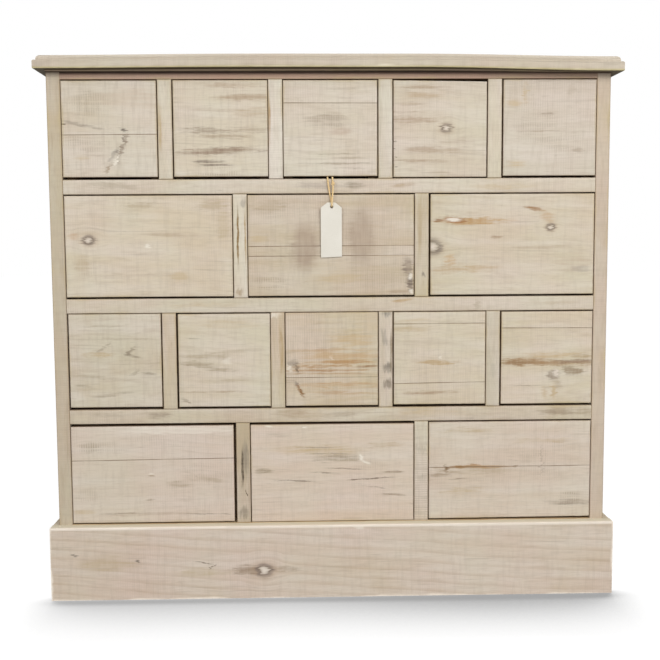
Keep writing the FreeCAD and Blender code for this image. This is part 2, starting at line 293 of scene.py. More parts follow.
def placed(looked_at, mid, u, v, long, tall, tilt=0.0):
    """Where a mark sits on the face that looks along an axis, as a mapping's place, turn and size: u and v
    run along and up that face, in millimetres."""
    turn = math.radians(tilt)
    u, v, long, tall = u * MM, v * MM, long * MM, tall * MM
    if looked_at == "x":
        return (mid.x, u, v), (turn, 0, 0), (10.0, long, tall)
    if looked_at == "z":
        return (u, v, mid.z), (0, 0, turn), (long, tall, 10.0)
    return (u, mid.y, v), (0, -turn, 0), (long, 10.0, tall)


def drawn_noise(t, dice, where, cells, detail, roughness, scale=1.0):
    """Noise that begins at a place of its own. cells is how many patches it has to the metre along each
    axis."""
    start = [dice.uniform(-9, 9) for _ in range(3)]
    drawn = node(t, "Mapping", {"Vector": where, "Location": start, "Scale": cells})
    return node(t, "TexNoise", {"Vector": drawn, "Scale": scale, "Detail": detail, "Roughness": roughness})


def year_rings(t, where, place, turn, spacing, distortion, detail, detail_scale):
    """Growth rings round a tree's middle at that place, sharp where summer wood ends."""
    core = node(t, "Mapping", [where, place, turn, (5, 1, 1)], **LOOK_UP)
    wave = {"Vector": core, "Scale": WAVE_STEP / (spacing * MM), "Distortion": distortion, "Detail": detail,
            "Detail Scale": detail_scale}
    return node(t, "TexWave", wave, wave_type="RINGS", rings_direction="X", wave_profile="SAW").outputs["Fac"]


def halo(t, where, place):
    """1 in the middle of a mark's place and 0 at its rim."""
    spot = node(t, "Mapping", [where, *place], **LOOK_UP)
    return node(t, "TexGradient", [spot], gradient_type="SPHERICAL").outputs["Fac"]


def laid(t, colour, paint, pattern, start, end, first, last, easing=SOFT):
    """Paint over a colour, as much as first where the pattern is at start and as last where it is at end.
    Gives the new colour and how much paint there is."""
    much = node(t, "MapRange", [pattern, start, end, first, last], **easing)
    return node(t, "Mix", [much, colour, paint], **RGBA), much


def limed_pine(name, low, high, grain="x", tone="#D6CAB8", seams=(), knots=(), marks=(), lines=(), sawn=0.5,
               rub=0.5, heart=(0.06, 0.02), slant=(1.5, 0.6), spacing=7.0, rings=0.5, edge=1.0,
               edge_colour=EDGE, dark_edge=1.0, painted_light_and_wear=(), chatter=(), face="y", seam_across="Z", lime=LIME,
               inside=None, bent=False):
    """Softwood brushed with lime paste, wiped back and sanded on the arrises. The eye sees a chalky cream
    skin that lets the grain, the saw's lines and the knots through, browner where it is rubbed and
    yellow-green on worn edges. seams are (z, tilt); knots (x, z, radius); marks (x, z, half length, half
    height, tilt, colour, strength, break-up); lines (x, z, half length, tilt, strength); chatter (x, z,
    half length, half height, strength) is where the saw bit deep; grime (axis, full at, gone at, strength,
    colour) are bands along one axis: painted shade under the top, painted highlight on upper faces and
    a worn arris on the top; all in millimetres and degrees. heart is where the tree's middle lies behind
    and beside the board, in metres, and slant how it is turned; spacing is the rings' in millimetres.
    inside is the colour behind the front, where no lime was brushed; its brown band is partly painted
    shade, so that the gaps between the parts read dark."""
    dice = random.Random(name + "0")
    low, high = Vector(low), Vector(high)
    mid, half = (low + high) / 2, (high - low) / 2
    mat, t = new_material("limed_pine_" + name)
    if bent:                              # the finish follows the board as it lay before it moved
        here = node(t, "Attribute", attribute_name="flat").outputs["Vector"]
    else:
        here = node(t, "TexCoord").outputs["Object"]

    # marks end in feathers along the grain: the place they are looked up at is shaken, by up to 11 mm along
    # the grain and 2 across, in patches 18 mm long and 2.4 across
    feather = node(t, "Mapping", [here, (0, 0, 0), TURN[grain], (1 / 55, 1 / 420, 1 / 420)], **LOOK_UP)
    ragged = node(t, "TexNoise", {"Vector": feather, "Scale": 1.0, "Detail": 3.0, "Roughness": 0.65})
    sway = Vector({"x": (0.022, 0.004, 0.005), "y": (0.004, 0.022, 0.005), "z": (0.005, 0.004, 0.022)}[grain])
    shaken = node(t, "VectorMath", [ragged.outputs["Color"], sway, here], operation="MULTIPLY_ADD")
    shaken = node(t, "VectorMath", [shaken, sway / 2], operation="SUBTRACT")
    # long thin marks fray: they are shaken 1.8 times more
    frayed = node(t, "VectorMath", [ragged.outputs["Color"], 1.8 * sway, shaken], operation="MULTIPLY_ADD")
    frayed = node(t, "VectorMath", [frayed, 0.9 * sway], operation="SUBTRACT")

    # the grain wanders along the board and bows round each knot
    wander = node(t, "TexNoise", {"Vector": here, "Scale": 4.0, "Detail": 2.0}).outputs["Color"]
    flow = node(t, "VectorMath", [wander, (0.016, 0.016, 0.016), here], operation="MULTIPLY_ADD")
    rounds = []
    upright = grain == "z" or (face, grain) == ("z", "y")
    for x, z, radius in knots:
        reach = KNOT_REACH * radius
        spread = (reach, 1.25 * reach) if upright else (1.25 * reach, reach)
        about = node(t, "Mapping", [shaken, *placed(face, mid, x, z, *spread)], **LOOK_UP)
        near = node(t, "TexGradient", [about], gradient_type="SPHERICAL").outputs["Fac"]
        pull = node(t, "VectorMath", [about, near], operation="SCALE")
        flow = node(t, "VectorMath", [pull, (-0.8 * reach * MM,) * 3, flow], operation="MULTIPLY_ADD")
        rounds.append(near)

    # a glued board is two pieces of timber: past each seam the pattern is another tree's
    joints = []
    for z, tilt in seams:
        along = node(t, "Mapping", [here, (mid.x, z * MM, z * MM), (0, math.radians(-tilt), 0)], **LOOK_UP)
        off = node(t, "SeparateXYZ", [along]).outputs[seam_across]
        side = node(t, "Math", [off, 0.0], operation="GREATER_THAN")
        jump = node(t, "CombineXYZ", [side, side])
        flow = node(t, "VectorMath", [jump, (0.37, 0.013, 0), flow], operation="MULTIPLY_ADD")
        joints.append(node(t, "Math", [off], operation="ABSOLUTE"))
    lain = node(t, "Mapping", [flow, mid, TURN[grain]], **LOOK_UP)

    # fibres: about 2 mm across and 24 long, coarser than real ones so that they show
    fibre = drawn_noise(t, dice, lain, (42, 560, 560), 4.0, 0.62)
    # hairlines: 3 mm apart and 220 long
    pore = drawn_noise(t, dice, lain, (4.5, 330, 330), 3.0, 0.55)
    # brushed bands of lime: about 20 mm high and 200 long
    band = drawn_noise(t, dice, lain, (5, 44, 44), 5.0, 0.6)
    # rubbed places: about 8 mm high and 50 long
    rubbed = drawn_noise(t, dice, lain, (19, 130, 130), 4.0, 0.55)
    # clouds of thick and thin lime, 70 mm
    cloud = node(t, "TexNoise", {"Vector": here, "Scale": 14.0, "Detail": 3.0, "Roughness": 0.55})
    # the paste is pinker here, greener there
    drift = drawn_noise(t, dice, here, (1, 1, 1), 3.0, 0.5, scale=9.0)
    turn = (0, math.radians(slant[1]), math.radians(slant[0]))
    year = year_rings(t, lain, (0, *heart), turn, spacing, 2.4, 2.0, 0.3)
    year = node(t, "MapRange", [year, 0.55, 0.98, 0.0, 1.0], **SOFT)

    # lime over wood
    colour, _ = laid(t, tone, lime, band, 0.34, 0.68, 0.0, 0.5)
    hue = node(t, "MapRange", [drift, 0.35, 0.65, 0.0, 1.0])
    hue = node(t, "Mix", [hue, "#FBFDF9", "#FFFBFB"], **RGBA)
    colour = node(t, "Mix", [1.0, colour, hue], blend_type="MULTIPLY", **RGBA)
    colour, _ = laid(t, colour, OCHRE, cloud, 0.5, 0.8, 0.0, 0.35 * rub)
    seen = node(t, "Math", [year, cloud], operation="MULTIPLY")
    seen = node(t, "Math", [seen, 0.24 * rings], operation="MULTIPLY")
    colour = node(t, "Mix", [seen, colour, BARE], **RGBA)
    colour, streak = laid(t, colour, "#AC9880", rubbed, 0.48, 0.75, 0.0, 0.38 * rub)
    colour, _ = laid(t, colour, "#9C8B76", fibre, 0.3, 0.58, 0.16, 0.0)
    colour, _ = laid(t, colour, "#8F7D68", pore, 0.24, 0.4, 0.12 + 0.28 * rub, 0.0)

    # the mill's saw: lines across the grain, in patches
    across = node(t, "Mapping", [here, (0, 0, 0), TURN[grain], (1, 1, 1)], **LOOK_UP)
    saw = {"Vector": across, "Scale": WAVE_STEP / (SAW_PITCH * MM), "Distortion": 3.0, "Detail": 3.0,
           "Detail Scale": 0.2}
    saw = node(t, "TexWave", saw, wave_type="BANDS", bands_direction="X", wave_profile="SIN").outputs["Fac"]
    patch = node(t, "MapRange", [drift, 0.45, 0.6, 0.15, 1.0], **SOFT)
    # and the scraper's: fainter, about 6 mm apart and 40 long
    scrape = drawn_noise(t, dice, across, (170, 24, 24), 3.0, 0.6)
    colour, _ = laid(t, colour, "#A39583", scrape, 0.46, 0.68, 0.0, 0.07 + 0.13 * sawn)
    cut = node(t, "Math", [saw, patch], operation="MULTIPLY")
    cut = node(t, "Math", [cut, fibre], operation="MULTIPLY")
    tooth = node(t, "Math", [cut, 0.38 * sawn], operation="MULTIPLY")
    colour = node(t, "Mix", [tooth, colour, "#9A8A75"], **RGBA)
    if chatter:
        bite = node(t, "MapRange", [saw, 0.35, 0.85, 0.3, 1.0], **SOFT)
        skip = node(t, "Math", [rubbed, pore], operation="ADD")
        skip = node(t, "MapRange", [skip, 0.88, 1.14, 0.0, 1.0], **SOFT)
        bite = node(t, "Math", [bite, skip], operation="MULTIPLY")
    for x, z, long, tall, strength in chatter:
        glow = halo(t, shaken, placed(face, mid, x, z, long, tall))
        glow = node(t, "MapRange", [glow, 0.0, 0.5, 0.0, strength], **SOFT)
        bitten = node(t, "Math", [bite, glow], operation="MULTIPLY")
        colour = node(t, "Mix", [bitten, colour, "#8C7A63"], **RGBA)

    # stains, scars, scuffs and filler: torn at the rim, and in strands within
    rags = node(t, "Math", [rubbed, fibre], operation="ADD")
    rags = node(t, "Math", [rags, pore], operation="ADD")
    rags = node(t, "MapRange", [rags, 1.15, 1.85, 0.0, 1.0])
    ticked = node(t, "MapRange", [scrape, 0.35, 0.6, 0.78, 1.0])
    for x, z, long, tall, tilt, paint, strength, broken in marks:
        where = frayed if long >= 24 and 3 < tall < 12 and abs(tilt) < 20 else shaken
        glow = halo(t, where, placed(face, mid, x, z, 1.3 * long, 1.3 * tall, tilt))
        torn = node(t, "Math", [rags, 1.3 * broken, glow], operation="MULTIPLY_ADD")
        amount = node(t, "MapRange", [torn, 0.6 * broken + 0.02, 0.6 * broken + 0.6, 0.0, 1.0], **SOFT)
        within = node(t, "MapRange", [glow, 0.0, 0.6, 0.0, 1.12 * strength])
        strand = node(t, "MapRange", [rags, 0.3, 0.65, 1.0 - 0.7 * broken, 1.0], **SOFT)
        for share in (within, ticked, strand):
            amount = node(t, "Math", [amount, share], operation="MULTIPLY")
        colour = node(t, "Mix", [amount, colour, paint], **RGBA)

    # knots: a grey ring round a pale limed middle, with a brown halo along the grain
    for near in rounds:
        eye = node(t, "ValToRGB", [near])
        stops = eye.color_ramp.elements
        for count, (place, paint, cover) in enumerate(RING_STOPS):
            stop = stops[count] if count < 2 else stops.new(place)
            stop.position = place
            stop.color = linear(paint)[:3] + (cover,)
        torn = node(t, "MapRange", [fibre, 0.3, 0.6, 0.55, 1.0])
        cover = node(t, "Math", [eye.outputs["Alpha"], torn], operation="MULTIPLY")
        colour = node(t, "Mix", [cover, colour, eye], **RGBA)

    # glue lines and drying cracks
    sunk = []
    for gap in joints:
        line = node(t, "MapRange", [gap, 0.0002, 0.0009, 0.85, 0.0], **SOFT)
        shown = node(t, "MapRange", [cloud, 0.35, 0.55, 0.55, 1.0])
        line = node(t, "Math", [line, shown], operation="MULTIPLY")
        colour = node(t, "Mix", [line, colour, "#75624A"], **RGBA)
        sunk.append(line)
    for x, z, long, tilt, strength in lines:
        slit = halo(t, shaken, placed(face, mid, x, z, long, 1.3, tilt))
        colour, slit = laid(t, colour, "#5B4A38", slit, 0.15, 0.7, 0.0, strength)
        sunk.append(slit)

    # worn arrises: how near the nearest edge is comes from the board's own size
    apart = node(t, "VectorMath", [here, mid], operation="SUBTRACT")
    apart = node(t, "VectorMath", [apart], operation="ABSOLUTE")
    apart = node(t, "VectorMath", [apart, half], operation="SUBTRACT")
    part = node(t, "SeparateXYZ", [apart]).outputs
    most = node(t, "Math", [part["X"], part["Y"]], operation="MAXIMUM")
    least = node(t, "Math", [part["X"], part["Y"]], operation="MINIMUM")
    second = node(t, "Math", [most, part["Z"]], operation="MINIMUM")
    second = node(t, "Math", [second, least], operation="MAXIMUM")
    worn = node(t, "Math", [cloud, 0.012, second], operation="MULTIPLY_ADD")
    worn = node(t, "Math", [rubbed, 0.004, worn], operation="MULTIPLY_ADD")
    # a pale edge colour, as on the top and the plinth, makes this band a painted highlight along the arrises
    colour, _ = laid(t, colour, edge_colour, worn, 0.0055, 0.0095, 0.0, 0.5 * edge)
    rim = node(t, "Math", [fibre, 0.0014, second], operation="MULTIPLY_ADD")
    colour, _ = laid(t, colour, "#7C5A41", rim, -0.0008, 0.0006, 0.0, 0.5 * dark_edge)
    # the lime stops a few millimetres round the corner: behind it the wood is brown, and raw deeper in
    # the brown band is partly painted shade: darker than the raw wood deeper in, so that the gaps read dark
    if inside:
        deep = node(t, "SeparateXYZ", [here]).outputs["Y"]
        back = node(t, "Math", [ragged, 0.004, deep], operation="MULTIPLY_ADD")
        raw, _ = laid(t, inside, "#A98A63", deep, low.y + 0.006, low.y + 0.011, 0.0, 0.8)
        colour, _ = laid(t, colour, raw, back, low.y + 0.0024, low.y + 0.005, 0.0, 0.9)
    # bands along one axis: painted shade under the top, painted highlight on upper faces, a worn arris
    for axis, full_at, gone_at, strength, paint in painted_light_and_wear:
        level = node(t, "SeparateXYZ", [here]).outputs[axis]
        level = node(t, "Math", [ragged, (gone_at - full_at) * 0.3 * MM, level], operation="MULTIPLY_ADD")
        colour, _ = laid(t, colour, paint, level, full_at * MM, gone_at * MM, strength, 0.0, easing={})

    # relief of fibres, summer wood, saw lines and cracks
    relief = node(t, "Math", [fibre, 0.6, seen], operation="MULTIPLY_ADD")
    relief = node(t, "Math", [cut, -0.5 * sawn, relief], operation="MULTIPLY_ADD")
    for line in sunk:
        relief = node(t, "Math", [line, -2.0, relief], operation="MULTIPLY_ADD")
    bump = node(t, "Bump", {"Height": relief, "Strength": 0.6, "Distance": 0.25 * MM})
    dull = node(t, "MapRange", [streak, 0.0, 0.6, 0.78, 0.58])
    return surfaced(mat, {"Base Color": colour, "Roughness": dull, "Normal": bump, "Specular IOR Level": 0.3,
                          "IOR": 1.45})


def dress(thing, mat):
    """Gives a piece or a CAD node its finish."""
    if len(thing.data.materials):
        for place in range(len(thing.data.materials)):
            thing.material_slots[place].material = mat
    else:
        thing.data.materials.append(mat)


# ---------------------------------------------------------------- drawer fronts
# what each front shows, in the chest's own millimetres
FRONTS = {
    "1_1": dict(
        tone="#D4C8B8", rub=0.5, sawn=1.2, seams=[(713, 0.3)],
        chatter=[(-360, 760, 40, 24, 0.3), (-370, 700, 50, 16, 0.3)],
        lines=[(-400, 729, 9, 0, 1.0), (-402, 729, 7, 0, 1.0)],
        marks=[
            (-314, 692, 26, 3.8, 66, "#8B7B6B", 0.9, 0.5), (-327, 683, 13, 4.4, 60, "#958B80", 0.85, 0.5),
            (-323, 675, 12, 2.3, 55, PALE, 0.95, 0.2), (-335, 662, 9, 3, 60, "#A08D78", 0.75, 0.4),
            (-311, 707, 8, 1.7, 78, "#75665A", 0.8, 0.2), (-311, 720, 5, 3.2, -30, "#6B6259", 0.9, 0.2),
            (-374, 679, 16, 4, 0, OCHRE, 0.5, 0.6), (-372, 727, 34, 2.6, -12, "#94887A", 0.6, 0.8),
            (-300, 765, 60, 20, 0, "#C3AE98", 0.35, 0.8)]),
    "1_2": dict(
        tone="#D5CAB7", rub=0.6, sawn=0.7, chatter=[(-170, 656, 40, 10, 0.35)],
        marks=[
            (-140, 786, 50, 4, 0, "#B09A82", 0.55, 0.7), (-130, 768, 56, 5, 1, "#A68F76", 0.65, 0.7),
            (-118, 746, 36, 8, 0, "#B7A389", 0.55, 0.7), (-165, 749, 56, 3, 0, "#AE9A82", 0.5, 0.8),
            (-188, 719, 44, 5, 0, "#978775", 0.65, 0.7), (-128, 720, 40, 5, 0, "#A4927E", 0.55, 0.8),
            (-160, 709, 44, 4, -1, "#A08C76", 0.6, 0.8), (-170, 688, 66, 6.5, 1, "#8C7663", 0.8, 0.5),
            (-185, 673, 34, 2.6, 0, "#6F6156", 0.75, 0.9), (-178, 667, 30, 1.8, 0, "#6F6156", 0.65, 0.9),
            (-105, 688, 12, 2, 0, "#8C7663", 0.6, 0.6)]),
    "1_3": dict(
        tone="#D3C9B8", rub=0.6, sawn=0.6, seams=[(759, -0.2)], chatter=[(-7, 733, 44, 16, 0.3)],
        marks=[
            (-7, 733, 40, 10, 0, "#A89A8A", 0.45, 0.9), (16, 717, 20, 6, 4, "#B39C88", 0.5, 0.7),
            (0, 741, 34, 1.6, 0, "#8D7C64", 0.5, 0.8), (14, 683, 52, 1.6, 0, "#8D7C64", 0.5, 0.8),
            (22, 677, 30, 1.5, 0, "#8D7C64", 0.5, 0.8), (11, 669, 60, 1.6, 0, "#8D7C64", 0.5, 0.8),
            (30, 662, 26, 1.5, 0, "#8D7C64", 0.5, 0.8), (20, 780, 26, 2, 0, "#8D7C64", 0.4, 0.8)]),
    "1_4": dict(
        tone="#D0C5B2", rub=0.8, sawn=0.5, spacing=5.5, heart=(0.09, 0.05), knots=[(176, 721, 5)],
        lines=[
            (98, 701, 3, 0, 0.8), (98, 690, 3, 0, 0.8), (98, 678, 3, 0, 0.8), (98, 663, 3, 0, 0.8)],
        marks=[
            (138, 782, 40, 2, 0, BROWN, 0.5, 0.8), (143, 771, 34, 5, 2, "#B39B7C", 0.5, 0.7),
            (118, 757, 30, 3, 0, BROWN, 0.45, 0.8), (120, 733, 44, 6, -1, "#A28A72", 0.55, 0.8),
            (110, 745, 36, 2, 0, BROWN, 0.45, 0.8), (151, 688, 44, 7, -2, "#A58F79", 0.55, 0.8),
            (128, 673, 50, 2.4, -1, BROWN, 0.5, 0.9), (192, 700, 30, 3, 0, BROWN, 0.35, 0.8)]),
    "1_5": dict(
        tone="#CFC5B6", rub=0.4, sawn=0.7, chatter=[(310, 730, 40, 40, 0.25), (350, 700, 40, 20, 0.25)],
        marks=[
            (296, 775, 5, 20, 0, "#BBA27A", 0.5, 0.6), (278, 758, 14, 6, 0, "#BFA67E", 0.5, 0.6),
            (329, 742, 12, 2, 0, "#8E7E6C", 0.65, 0.6), (284, 667, 16, 6, 0, "#BFA67E", 0.5, 0.6),
            (377, 687, 8, 5, 0, "#9C8C7A", 0.5, 0.7), (330, 716, 70, 1.6, -1, "#A5937E", 0.5, 0.8),
            (365, 778, 6, 12, 0, "#B5A693", 0.4, 0.6)]),
    "2_1": dict(
        tone="#D4C7B1", rub=0.6, sawn=0.5, spacing=9, heart=(0.12, -0.06), knots=[(-368, 555, 5.6)],
        chatter=[(-160, 580, 26, 40, 0.18), (-375, 515, 24, 20, 0.18)],
        marks=[
            (-180, 606, 26, 9, 0, "#B29F80", 0.55, 0.5), (-240, 562, 55, 3, -2, BROWN, 0.3, 0.8),
            (-279, 546, 5, 4, 0, PALE, 0.8, 0.2), (-391, 561, 10, 6, 0, "#B98F68", 0.3, 0.6),
            (-164, 578, 10, 34, 0, "#B8A688", 0.55, 0.6), (-320, 500, 60, 4, 1, BROWN, 0.25, 0.8),
            (-379, 517, 14, 16, 0, "#B49E82", 0.45, 0.6), (-289, 606, 26, 6, 0, "#A8957A", 0.45, 0.6),
            (-231, 500, 16, 8, 0, OCHRE, 0.45, 0.6)]),
    "2_2": dict(
        tone="#C9BAA3", rub=0.5, sawn=0.8, seams=[(544.3, 0.1), (529.3, 0.1)],
        chatter=[
            (-92, 488, 34, 16, 0.39), (-90, 600, 36, 18, 0.21), (80, 500, 60, 30, 0.15)],
        marks=[
            (118, 512, 9, 16, 0, "#8B7C6E", 0.85, 0.5), (122, 485, 7, 15, 10, "#7D6F62", 0.95, 0.45),
            (121, 497, 4, 6, 0, PALE, 0.8, 0.3), (124, 474, 5, 5, 0, PALE, 0.85, 0.3),
            # (-41, 543) and (46, 558) are the tag's soft shadows, painted on the front either side of it
            (105, 474, 22, 3, 0, BROWN, 0.6, 0.6), (-41, 543, 24, 44, 0, "#A59280", 0.7, 0.1),
            (46, 558, 26, 54, 0, "#A59280", 0.6, 0.15), (-94, 606, 26, 11, 0, "#A8967C", 0.55, 0.5),
            (-110, 556, 16, 6, 0, OCHRE, 0.5, 0.5), (10, 496, 40, 10, 0, OCHRE, 0.4, 0.6)]),
    "2_3": dict(
        tone="#D0C4AE", rub=0.7, sawn=0.4, spacing=8, knots=[(337, 571, 4.2), (154, 542, 9)],
        marks=[
            (218, 581, 62, 5.5, 0, "#B59366", 0.85, 0.35), (186, 583, 24, 5.5, 0, "#9A6E46", 0.95, 0.15),
            (187, 583, 15, 3.2, 0, "#E0D6C8", 1.0, 0.05), (163, 582, 8, 3, 0, "#8A6440", 0.8, 0.2),
            (312, 599, 19, 3.6, -12, "#9C7A58", 0.9, 0.5), (331, 587, 14, 9, -35, "#B99A78", 0.6, 0.5),
            (254, 556, 12, 3, 0, BROWN, 0.7, 0.5), (182, 522, 10, 9, -30, ORANGE, 0.45, 0.9),
            (205, 508, 56, 7, 2, "#B39671", 0.55, 0.9), (330, 541, 70, 3, 1, BROWN, 0.3, 0.9),
            (370, 518, 30, 14, 0, "#B7A28C", 0.5, 0.9), (384, 507, 16, 5, 0, "#A79C90", 0.5, 0.9)]),
    "3_1": dict(
        tone="#CFC5B2", rub=0.9, sawn=0.8,
        marks=[
            (-311, 384, 14, 3, 40, "#8F8270", 0.7, 0.7), (-306, 378, 16, 2.4, -14, "#8F8270", 0.65, 0.7),
            (-349, 392, 14, 2.4, 38, "#9A8D7A", 0.6, 0.7), (-357, 380, 26, 4, 0, "#B7A07A", 0.6, 0.8),
            (-281, 350, 14, 3.4, -8, "#8F8270", 0.7, 0.8), (-302, 352, 9, 3.4, 30, "#8F8270", 0.6, 0.8),
            (-380, 332, 22, 3, -12, "#9A8D7A", 0.55, 0.9), (-355, 345, 60, 3, -6, "#A3937C", 0.45, 0.9),
            (-340, 318, 40, 3, 8, "#9A8D7A", 0.5, 0.9), (-350, 424, 60, 2, 0, "#A3937C", 0.5, 0.9),
            (-330, 404, 70, 2, 0, "#A3937C", 0.45, 0.9)]),
    "3_2": dict(
        tone="#D2C7B2", rub=0.6, sawn=0.5, lines=[(-213, 404, 16, 0, 0.4)],
        marks=[
            (-162, 370, 7, 8, 0, PALE, 0.45, 0.6), (-210, 365, 36, 6, -4, "#9F9078", 0.65, 0.8),
            (-182, 357, 36, 4, -8, "#9F9078", 0.55, 0.8), (-190, 377, 44, 4, 2, "#A8987F", 0.5, 0.9),
            (-140, 384, 50, 3, 3, "#A8987F", 0.45, 0.9), (-165, 338, 50, 3, 1, "#A8987F", 0.45, 0.9),
            (-180, 321, 66, 1.8, 0, BROWN, 0.5, 0.8), (-226, 308, 9, 3, -30, "#8A7B68", 0.7, 0.5),
            (-165, 425, 50, 8, 0, OCHRE, 0.4, 0.8)]),
    "3_3": dict(
        tone="#CBBA9E", rub=0.9, sawn=1.0, seams=[(342, 0.0)],
        marks=[
            (-20, 359, 66, 3.2, 0, "#AA8459", 0.85, 0.7), (0, 353, 90, 2.2, 0, "#A78259", 0.75, 0.7),
            (-16, 348, 70, 1.8, 0, "#A98660", 0.6, 0.7), (-60, 363, 10, 7, 0, "#8F8376", 0.6, 0.7),
            (-66, 357, 4, 7, 10, PALE, 0.7, 0.3), (-54, 356, 3, 9, 10, "#7C6A56", 0.8, 0.4),
            (-50, 323, 15, 2.6, -62, "#8A6743", 0.95, 0.3), (-56, 333, 6, 3, -50, GREY, 0.8, 0.4),
            (0, 373, 4, 4, 0, PALE, 0.85, 0.2), (16, 375, 60, 10, 0, "#BB9A70", 0.6, 0.8),
            (20, 366, 60, 3, 0, "#AD8556", 0.7, 0.8), (53, 358, 18, 2.5, 4, "#8F6A45", 0.8, 0.5),
            (35, 400, 40, 12, 0, "#C0A378", 0.5, 0.8), (10, 330, 70, 5, 0, "#B58F62", 0.55, 0.9),
            (20, 318, 60, 3, 0, "#B08D64", 0.5, 0.9), (-20, 385, 60, 3, 0, "#B08D64", 0.45, 0.9)]),
    "3_4": dict(
        tone="#D1C5AE", rub=0.6, sawn=0.6, seams=[(424, 0.2), (332, 0.6)],
        marks=[
            (150, 317, 60, 3, 1, BROWN, 0.7, 0.7), (167, 372, 3, 3, 0, PALE, 0.5, 0.3),
            (165, 364, 34, 4, 0, "#B09468", 0.7, 0.6), (125, 416, 40, 5, 0, "#B7A27E", 0.5, 0.8),
            (150, 395, 70, 6, 0, "#BBAC96", 0.4, 0.9), (125, 428, 30, 5, 0, OCHRE, 0.4, 0.8)]),
    "3_5": dict(
        tone="#D0C4AD", edge=1.2, rub=0.6, sawn=0.4, seams=[(416, -0.2)], lines=[(300, 326, 40, 0, 0.3)],
        marks=[
            (300, 363, 50, 7, 0, "#A0825F", 0.85, 0.2), (345, 361, 70, 5, 0, "#A0825F", 0.8, 0.3),
            (290, 362, 36, 4, 0, "#8F7354", 0.7, 0.4), (380, 364, 36, 4, 1, "#8A735E", 0.7, 0.4),
            (345, 374, 56, 5, 0, "#BCA27A", 0.6, 0.7), (388, 372, 20, 5, 0, "#A08966", 0.6, 0.6),
            (343, 343, 10, 11, 0, "#9A8C7C", 0.85, 0.4), (347, 346, 4, 8, 15, "#DCD0C2", 0.85, 0.2),
            (371, 349, 24, 8, -4, "#96846C", 0.85, 0.4), (345, 318, 5, 14, 0, "#B59B72", 0.6, 0.6),
            (352, 328, 7, 10, 30, "#A5947E", 0.5, 0.7), (330, 314, 5, 12, 0, "#B59B72", 0.4, 0.7)]),
    "4_1": dict(
        tone="#D4C6B6", rub=0.25, sawn=0.5, seams=[(216, 0.5)],
        chatter=[
            (-378, 237, 22, 13, 0.45), (-345, 236, 40, 12, 0.18), (-200, 195, 44, 22, 0.18),
            (-240, 176, 24, 8, 0.3), (-380, 160, 24, 12, 0.21), (-270, 245, 60, 14, 0.12)],
        lines=[
            (-211, 189, 1.5, 90, 0.5), (-190, 129, 70, -1, 0.35), (-330, 131, 60, 1, 0.3)],
        marks=[
            (-185, 183, 22, 4, -8, "#A39279", 0.4, 0.9), (-237, 176, 22, 5, -6, "#A39279", 0.45, 0.9),
            (-280, 191, 4, 2.2, 0, "#A08A70", 0.6, 0.3), (-281, 193, 5, 2, 0, PALE, 0.7, 0.3),
            (-285, 152, 8, 2, 0, "#9C8A74", 0.7, 0.5), (-385, 134, 22, 4, 0, "#B79E6C", 0.35, 0.6),
            (-240, 262, 120, 8, 0, PALE, 0.5, 0.5), (-300, 130, 90, 3, 0.5, BROWN, 0.35, 0.8)]),
    "4_2": dict(
        tone="#D5C5B4", edge_colour="#C6B892", rub=0.35, sawn=0.4, rings=0.6, spacing=9,
        heart=(0.05, -0.09), slant=(1.2, -3.0), chatter=[(10, 212, 44, 12, 0.21), (60, 205, 40, 12, 0.15)],
        lines=[
            (-60, 180, 52, -3, 0.55), (58, 182, 60, 3, 0.75), (-13, 192, 30, -4, 0.5),
            (20, 198, 46, -3, 0.5), (-20, 232, 50, 0, 0.35), (-5, 222, 60, -1, 0.3), (70, 168, 30, -8, 0.3)],
        marks=[
            (-8, 228, 52, 9, 0, "#B39A6C", 0.5, 0.8), (6, 214, 36, 6, 0, "#93856F", 0.55, 0.9),
            (-97, 267, 8, 2, 0, PALE, 1.0, 0.1), (-41, 264, 5, 1.6, 0, PALE, 0.9, 0.1),
            (-83, 253, 18, 4, 0, "#93856F", 0.35, 0.9), (45, 216, 7, 3.5, -55, PALE, 0.95, 0.2),
            (52, 208, 9, 3, -20, PALE, 0.8, 0.3), (-107, 196, 14, 4, 0, "#85785F", 0.6, 0.9),
            (94, 192, 18, 3, 0, "#8F7C66", 0.7, 0.7), (98, 156, 24, 2, -6, "#8F7C66", 0.6, 0.6),
            (80, 235, 30, 5, 0, "#B39C7A", 0.45, 0.9), (-60, 228, 50, 6, 0, OCHRE, 0.35, 0.8)]),
    "4_3": dict(
        tone="#D2C3B2", rub=0.4, sawn=0.5, spacing=8, seams=[(199, 0.2)],
        lines=[(328, 208, 40, 90, 0.35), (196, 180, 30, 2, 0.4)],
        chatter=[
            (370, 148, 26, 13, 0.48), (330, 225, 60, 24, 0.18), (240, 170, 50, 16, 0.12),
            (328, 190, 44, 40, 0.12)],
        marks=[
            (215, 199, 48, 3.4, 0, "#A87E50", 0.75, 0.6), (200, 199, 24, 2, 0, "#97703F", 0.8, 0.5),
            (246, 199, 44, 3, 0, "#B0906A", 0.7, 0.7), (230, 194, 60, 6, -1, "#AD9A80", 0.5, 0.9),
            (205, 257, 42, 5, 0, "#B39D76", 0.45, 0.9), (177, 196, 3, 9, 25, "#7C6245", 0.85, 0.4),
            (166, 187, 16, 4, 0, "#8E7A60", 0.7, 0.9), (180, 192, 24, 3, -6, "#9A8468", 0.5, 0.7),
            (286, 199, 5, 2.5, 0, "#8E7A60", 0.8, 0.4), (203, 159, 40, 8, 2, "#B9A27C", 0.5, 0.9),
            (330, 240, 60, 4, 0, "#B9A27C", 0.45, 0.8), (372, 141, 34, 6, 0, "#97897A", 0.55, 0.9),
            (372, 137, 30, 1.6, 0, "#8A7C6B", 0.5, 0.7)]),
}
ASKEW = {"1_4": (1, 1, 2.2), "4_3": (1, -1, 1.2), "4_1": (-1, 1, 0.5)}
